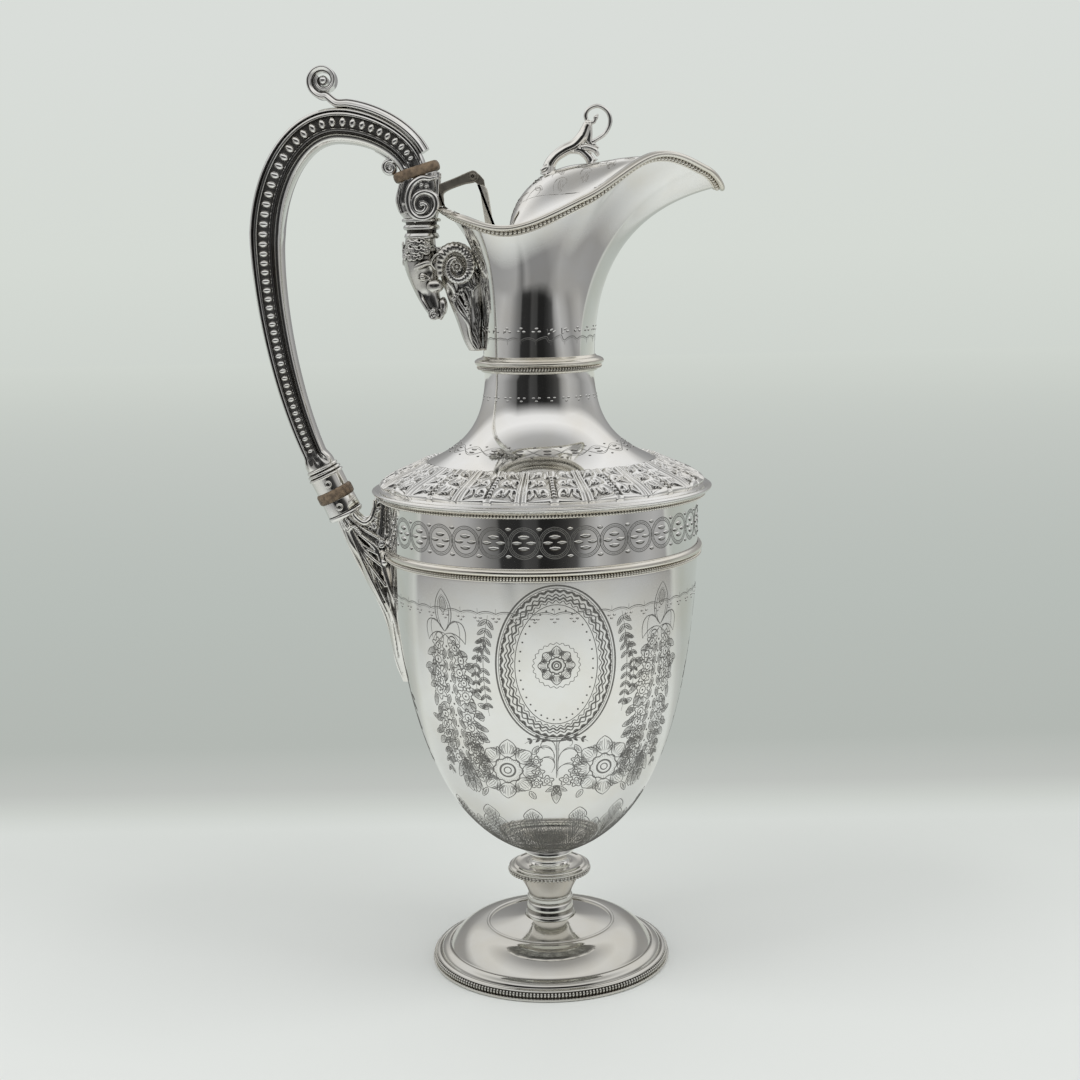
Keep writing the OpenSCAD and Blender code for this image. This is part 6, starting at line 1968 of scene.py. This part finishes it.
def make_finial():
    """A twig bent over the lid, with a side leg, small leaves and buds, and a curled tendril."""
    mass = Mass()
    z0 = hinge_at[1]
    foot_1, foot_2 = np.array([5.0, crest(5.0)]), np.array([20.5, crest(20.5)])

    def twig(points, radii, n=40):
        line = spline([(p[0], p[2] if len(p) > 2 else 0, p[1]) for p in points], n)
        r = swelling(n, np.linspace(0, 1, len(radii)), radii)
        tube(mass, line, 1.5 * r, 14, up=(0, 1.0, 0.01))

    twig([(foot_1[0] - 0.4, foot_1[1] - 0.2), (5.3, z0 + 3.7), (7.4, z0 + 6.5), (10.8, z0 + 8.8),
          (14.4, z0 + 10.5), (17.2, z0 + 13.3), (18.6, z0 + 16.1), (19.5, z0 + 17.9)],
         (2.0, 1.45, 1.35, 1.45, 1.5, 1.45, 1.2, 1.15))
    twig([(19.6, z0 + 17.7), (19.9, z0 + 14.5), (19.7, z0 + 11.7), (20.9, z0 + 10.3)], (0.9, 0.75, 0.8, 0.6))
    twig([(8.6, z0 + 7.8), (12.2, z0 + 8.9), (16.4, z0 + 8.7), (19.2, z0 + 6.5), (20.4, z0 + 4.5),
          (foot_2[0] + 0.5, foot_2[1] - 0.2)], (0.9, 1.1, 1.15, 1.2, 1.25, 1.7))
    for y in (-1, 1):
        twig([(16.0, z0 + 9.3, 0), (19.0, z0 + 9.6, y * 1.3), (21.6, z0 + 8.5, y * 1.9),
              (23.0, z0 + 6.5, y * 1.7)], (0.8, 0.8, 0.65, 0.4), 20)
        twig([(5.0, z0 + 3.5, 0), (3.6, z0 + 2.5, y * 1.6), (2.0, z0 + 1.5, y * 2.2)], (0.9, 0.8, 0.4), 14)
        blob(mass, (21.6, y * 0.9, z0 + 10.5), (0.75, 0.6, 0.75))
    for x, z, r in ((19.4, 18.2, 1.35), (21.5, 10.7, 0.8), (22.6, 9.5, 0.7), (11.0, 10.4, 0.6),
                    (15.4, 12.3, 0.55)):
        blob(mass, (x, 0, z0 + z), (r, r * 0.9, r))
    loop = spline([(20.6, z0 + 11.5), (22.6, z0 + 12.4), (25.6, z0 + 14.5), (27.5, z0 + 18.3),
                   (26.5, z0 + 22.1), (23.2, z0 + 24.2), (19.8, z0 + 23.1), (18.6, z0 + 20.7),
                   (19.5, z0 + 18.7), (21.3, z0 + 18.4), (22.2, z0 + 19.7)], 90)
    tube(mass, upright(loop), swelling(90, [0, 0.3, 0.9, 1], [0.8, 0.82, 0.74, 0.7]), 12)
    blob(mass, (22.3, 0, z0 + 20.1), (0.9, 0.8, 0.9))
    blob(mass, (22.9, 0, z0 + 20.9), (0.45, 0.4, 0.6))

    def above_lid(p):
        near = (p[:, 2] < z0 + 7.9) & (p[:, 0] < 30)
        out = p.copy()
        out[near, 2] = np.maximum(out[near, 2], lid_surface(p[near, 0], p[near, 1]) + 0.05)
        return out
    return cast("finial_twig", mass, 0.16, ["finial"], body="lid", smooth=2, fit=above_lid, depth=0.2)


# ---------- leaf bracket ----------
joint_end = joint_top + joint_l * joint_dir
leaf_unit = 0.64
# Sections in leaf_unit as (outer edge in X, its height, inner edge in X, its height, half width). They are
# counted from the joint's end, and the inner edge of the blade from the band
LEAF_NECK = [(-4.9, -2.6, 4.8, 1.9, 5.3), (-1.4, -11.6, 14.2, -3.8, 7)]
LEAF_BLADE = [(2.6, -21.3, 9.4, -14, 9.4), (9.5, -35.9, 14, -32.8, 11.6), (18.3, -54.7, 15.6, -53.1, 12.2),
              (23, -70.3, 18.8, -70.3, 10), (25.8, -87.5, 20.3, -87.5, 6.9), (30.1, -100, 21.9, -100, 2.5)]


def bowl_radius(z):
    """Outer radius of the bowl, its girdle and the band at a height."""
    r = np.interp(z, bowl_line[:, 1], bowl_line[:, 0])
    r = np.where(z > band_z, bowl_r, r)
    return np.where(np.abs(z - girdle_z) < 2.5, bowl_r + 1.75, r)


def make_leaf_bracket():
    """The leaf under the lower joint: a ribbed blade with a curled tip, and a root that climbs the band."""
    mass = Mass()
    unit_5 = np.array([joint_end[0], joint_end[1], joint_end[0], joint_end[1], 0])
    blade_5 = np.array([joint_end[0], joint_end[1], -bowl_r, joint_end[1], 0])
    stations = np.vstack([np.array(LEAF_NECK) * leaf_unit + unit_5,
                          np.array(LEAF_BLADE) * leaf_unit + blade_5])
    stations = np.vstack([stations[0] + [-1.0, 2.0, -1.0, 2.0, 0.4], stations])
    stations = spline(stations, 90)
    c = circle_angles(96)
    rings = []
    for i, s in enumerate(stations):
        u = i / 89
        rib = 0.5 + 0.5 * np.cos(13 * c + 0.5)
        bow = math.sin(math.pi * min(1, u * 1.15 + 0.06)) ** 0.5
        depth = 1 - 0.27 * (1 - rib) ** 1.5 * bow * np.abs(np.sin(c)) ** 0.4
        mid, half = (s[:2] + s[2:4]) / 2, (s[:2] - s[2:4]) / 2
        edge = 1 + 0.05 * math.sin(26 * u) * (u > 0.2)
        rings.append(np.stack([mid[0] + half[0] * np.cos(c) * edge, s[4] * np.sin(c) * depth * edge,
                               mid[1] + half[1] * np.cos(c)], 1))
    loft(mass, rings)
    tube(mass, upright(stations[:, :2]), swelling(90, [0, 0.15, 0.85, 1], [0.95, 0.8, 0.6, 0.45]), 10)

    at = np.round([-bowl_r, 0, band_z], 1)   # the band's foot. Places of the trimmings are counted from here

    def line(points, n):
        return spline(at + points, n)

    def half(side):
        y = side
        # Leaf scroll between the ferrule and the band
        sweep = line([(-13.5, y * 3.6, 15.7), (-11.3, y * 4.2, 12.3), (-8.5, y * 4.2, 10.5),
                      (-5.9, y * 3.9, 12.1), (-4.5, y * 3.4, 15.9), (-4.3, y * 3.0, 18.9)], 34)
        tube(mass, sweep, swelling(34, [0, 0.4, 1], [0.9, 1.25, 0.8]), 10)
        # Foliage up the root
        for j in range(4):
            z = 18.5 - 3.1 * j
            curl(mass, at + (-3.1 - 0.6 * j, y * (3.2 + 0.35 * j), z), 1.35, 0.5, 1.2,
                 side if j % 2 else -side, 50 * j, (-0.4, side, 0))
            blob(mass, at + (-4.3 - 0.7 * j, y * (2.4 + 0.2 * j), z - 1.2), (1.1, 0.9, 1.5))
        # Fans of ribs from the joint, and beads over them
        for j, (x, z, w) in enumerate([(-2.5, -2.1, 5.6), (-1.9, -6.3, 6.4), (-1.1, -13.5, 7.2),
                                       (-0.9, -23.5, 7.0)]):
            bend = ((-14.5 + x) / 2 - 1.2 + 0.5 * j, y * (5.2 + 0.5 * j), (10.1 + z) / 2 - 1.5)
            rib = line([(-14.5, y * 4.4, 10.1 - 0.5 * j), bend, (x, y * w, z)], 30)
            tube(mass, rib, swelling(30, [0, 0.6, 1], [0.5, 0.75, 0.45]), 9)
        for j in range(8):
            t = j / 7
            z = 7.7 + 1.9 * math.sin(math.pi * t) - 0.8 * t
            blob(mass, at + (-14.7 + 4.6 * t, y * (4.9 + 0.4 * t), z), (0.62,) * 3, around=10, up=7)
        blob(mass, at + (-1.5, y * 5.6, -8.3), (1.5, 1.3, 2.3))
        blob(mass, at + (-1.3, y * 6.0, -4.5), (1.2, 1.1, 1.3))
        curl(mass, at + (-2.3, y * 5.6, 2.4), 1.5, 0.55, 1.3, side, 120, (-0.2, side, 0))
        tube(mass, line([(-1.1, y * 6.3, -9.9), (-0.1, y * 6.0, -19.5), (0.9, y * 4.9, -30.5),
                         (2.1, y * 3.4, -41.5)], 26), 0.55, 9)
        for z, r in ((-41.9, 1.5), (-45.3, 1.25), (-48.1, 0.95)):
            blob(mass, at + (3.3 - (41.9 + z) * 0.16, y * 1.1, z), (r, r, r * 1.1))
    mirrored(half)
    root = spline([(7.2, joint_end[1] - 10, 5), (5.2, joint_end[1] - 4, 4.4), (4.2, joint_end[1] + 1, 3.8),
                   (3.4, shoulder_z - 2.4, 3.2)], 20)
    c = circle_angles(32)
    loft(mass, [np.stack([-bowl_r - s[0] / 2 + 0.4 - (s[0] / 2 + 0.4) * np.cos(c), s[2] * np.sin(c),
                          s[1] + 0 * c], 1) for s in root])

    def fit(p):
        r = np.hypot(p[:, 0], p[:, 1])
        need = bowl_radius(p[:, 2]) + 0.04
        grow = np.where((r < need) & (p[:, 2] < shoulder_z), need / np.maximum(r, 1), 1)
        out = p.copy()
        out[:, 0] *= grow
        out[:, 1] *= grow
        out[:, 2] = np.where(np.hypot(out[:, 0], out[:, 1]) < shoulder_r + 0.2,
                             np.minimum(out[:, 2], shoulder_z - 0.1), out[:, 2])
        return out
    return cast("leaf_bracket_cast", mass, 0.22, ["leaf_bracket"], fit=fit, smooth=1, depth=0.11)


make_ram()
make_capital()
make_capital_rings()
make_hinge()
make_lid()
make_lid_arm()
make_finial()
make_leaf_bracket()


# ---------- surroundings ----------
def make_camera():
    """The photograph's viewpoint, found from the jug's outline. Lengths in mm, turns in degrees."""
    height, distance, aside = 270.4, 642.3, -1.07
    focal_px, image_px = 1726, 1080
    pitch, roll = 9.37, 1.17
    data = bpy.data.cameras.new("camera")
    data.sensor_width = 36
    data.lens = focal_px / image_px * data.sensor_width
    data.clip_start, data.clip_end = 0.01, 100
    camera = bpy.data.objects.new("camera", data)
    bpy.context.scene.collection.objects.link(camera)
    camera.location = Vector((aside, -distance, height)) * MM
    camera.rotation_mode = "QUATERNION"
    camera.rotation_quaternion = (Quaternion((1, 0, 0), math.radians(90 - pitch))
                                  @ Quaternion((0, 0, 1), math.radians(-roll)))
    bpy.context.scene.camera = camera


def make_world():
    """A pale light tent that opens towards the camera, where the dark room shows in the metal."""
    world = bpy.data.worlds.new("studio")
    bpy.context.scene.world = world
    world.use_nodes = True
    tree = world.node_tree
    tree.nodes.clear()
    place = add_node(tree, "TexCoord").outputs["Generated"]
    x, y, z = add_node(tree, "SeparateXYZ", {0: place}).outputs

    # Seen by the camera: a smooth backdrop, darker at the bottom
    backdrop = tone_ramp(tree, calc(tree, "MULTIPLY_ADD", z, 0.5, 0.5),
                         (0.0, (178, 184, 179)), (0.42, (196, 201, 196)), (0.5, (213, 218, 212)),
                         (0.56, (217, 221, 217)), (1.0, (224, 226, 223)))

    # Seen in the metal: by direction round the jug, 0 towards the camera, -0.5 and 0.5 away from it.
    # The dark opening is narrower near the table.
    circle = calc(tree, "DIVIDE", calc(tree, "ARCTAN2", x, calc(tree, "MULTIPLY", y, -1)), 2 * math.pi)
    narrower = calc(tree, "MULTIPLY_ADD", calc(tree, "MAXIMUM", calc(tree, "MULTIPLY", z, -1), 0), 3.2, 1)
    circle = calc(tree, "MULTIPLY", circle, narrower)
    from_back = calc(tree, "ADD", circle, 0.5)
    walls = tone_ramp(tree, from_back,
                      (0.0, 138), (0.05, 150), (0.10, 165), (0.19, 182), (0.27, 165), (0.33, 120),
                      (0.362, 98), (0.37, 46), (0.43, 40), (0.445, 68), (0.482, 60), (0.49, 33), (0.53, 33),
                      (0.57, 52), (0.605, 74), (0.632, 150), (0.67, 182), (0.72, 166), (0.76, 142),
                      (0.81, 164), (0.86, 176), (0.95, 150), (1.0, 138))
    ceiling = tone_ramp(tree, z, (0.0, 150), (0.3, 170), (0.46, 232), (0.7, 240), (0.82, 216), (0.93, 176),
                        (1.0, 165))
    # Towards the camera the dark opening goes up higher than the walls at its sides
    aside = calc(tree, "MULTIPLY_ADD", calc(tree, "ABSOLUTE", circle), 9, -1.2, clamp=True)
    above = tone_ramp(tree, calc(tree, "MULTIPLY_ADD", aside, 0.2, z), (0.3, 0), (0.56, 255))
    tent = mix_colours(tree, above, walls, ceiling)

    # Low down, under the horizon, the metal sees the pale table again
    table = tone_ramp(tree, calc(tree, "MULTIPLY_ADD", z, 1, 0.5), (0.26, 255), (0.31, 0))
    apron = tone_ramp(tree, from_back, (0.0, 150), (0.3, 160), (0.36, 112), (0.4, 150), (0.44, 134),
                      (0.56, 134), (0.6, 146), (0.7, 164), (1.0, 150))
    room = mix_colours(tree, table, tent, apron)

    seen, reflected, lighting = (add_node(tree, "Background", {"Color": colour, "Strength": strength})
                                 for colour, strength in ((backdrop, 1), (room, 1), (colour_of(232), 0.92)))
    rays = add_node(tree, "LightPath").outputs
    metal_or_light = add_node(tree, "MixShader", {0: rays["Is Glossy Ray"], 1: lighting.outputs[0],
                                                  2: reflected.outputs[0]})
    by_ray = add_node(tree, "MixShader", {0: rays["Is Camera Ray"], 1: metal_or_light.outputs[0],
                                          2: seen.outputs[0]})
    add_node(tree, "OutputWorld", {"Surface": by_ray.outputs[0]})


def make_floor():
    """A sheet of pale paper, darker behind the jug, where it glows as a backdrop. In the metal it ends where
    the room begins.
    """
    size = 4.0
    mesh = bpy.data.meshes.new("floor")
    mesh.from_pydata([(-size, -size, 0), (size, -size, 0), (size, size, 0), (-size, size, 0)], [],
                     [(0, 1, 2, 3)])
    floor = bpy.data.objects.new("floor", mesh)
    bpy.context.scene.collection.objects.link(floor)
    material, tree, shader, place = new_material("paper_sweep")
    behind_jug = add_node(tree, "SeparateXYZ", {0: place}).outputs["Y"]
    far = calc(tree, "MULTIPLY_ADD", behind_jug, 1 / size, 0, clamp=True)
    # Painted shade: the paper's tone darkens into a band just behind the jug and lightens again further back
    paper = tone_ramp(tree, far, (0.0, (222, 225, 222)), (0.04, (216, 220, 216)), (0.047, (203, 207, 202)),
                      (0.054, (191, 194, 190)), (0.075, (179, 184, 179)), (0.17, (183, 189, 184)),
                      (0.4, (192, 197, 192)), (0.75, (203, 208, 202)), (1.0, (208, 213, 207)))
    set_inputs(shader, {"Base Color": paper, "Roughness": 0.5, "Specular IOR Level": 0.15})
    apart = add_node(tree, "VectorMath", {0: place}, operation="LENGTH").outputs["Value"]
    beyond = calc(tree, "MULTIPLY_ADD", apart, 2.6, -0.7, clamp=True)
    glossy = add_node(tree, "LightPath").outputs["Is Glossy Ray"]
    clear = add_node(tree, "BsdfTransparent").outputs[0]
    near = add_node(tree, "MixShader", {0: calc(tree, "MULTIPLY", beyond, glossy), 1: shader.outputs[0],
                                        2: clear})
    # The backdrop behind the jug glows at its own painted tone, whatever light reaches it: painted light
    glow = add_node(tree, "Emission", {"Color": paper})
    behind = tone_ramp(tree, far, (0.034, 0), (0.05, 255))
    sweep = add_node(tree, "MixShader", {0: behind, 1: near.outputs[0], 2: glow.outputs[0]})
    set_inputs(tree.nodes["Material Output"], {"Surface": sweep.outputs[0]})
    mesh.materials.append(material)


def make_lamps():
    """A soft lamp high up on each side, which doesn't show in the metal."""
    target = Vector((0, 0, 0.15))
    for name, place in (("lamp_left", (-0.55, -0.25, 0.95)), ("lamp_right", (0.55, -0.2, 0.95))):
        data = bpy.data.lights.new(name, "AREA")
        data.shape = "RECTANGLE"
        data.size, data.size_y = 0.5, 0.16
        data.energy = 2.5
        lamp = bpy.data.objects.new(name, data)
        bpy.context.scene.collection.objects.link(lamp)
        lamp.location = place
        lamp.visible_glossy = False
        lamp.rotation_mode = "QUATERNION"
        lamp.rotation_quaternion = (target - Vector(place)).to_track_quat("-Z", "Y")


make_camera()
make_world()
make_floor()
make_lamps()
bpy.context.scene.view_settings.view_transform = "Standard"
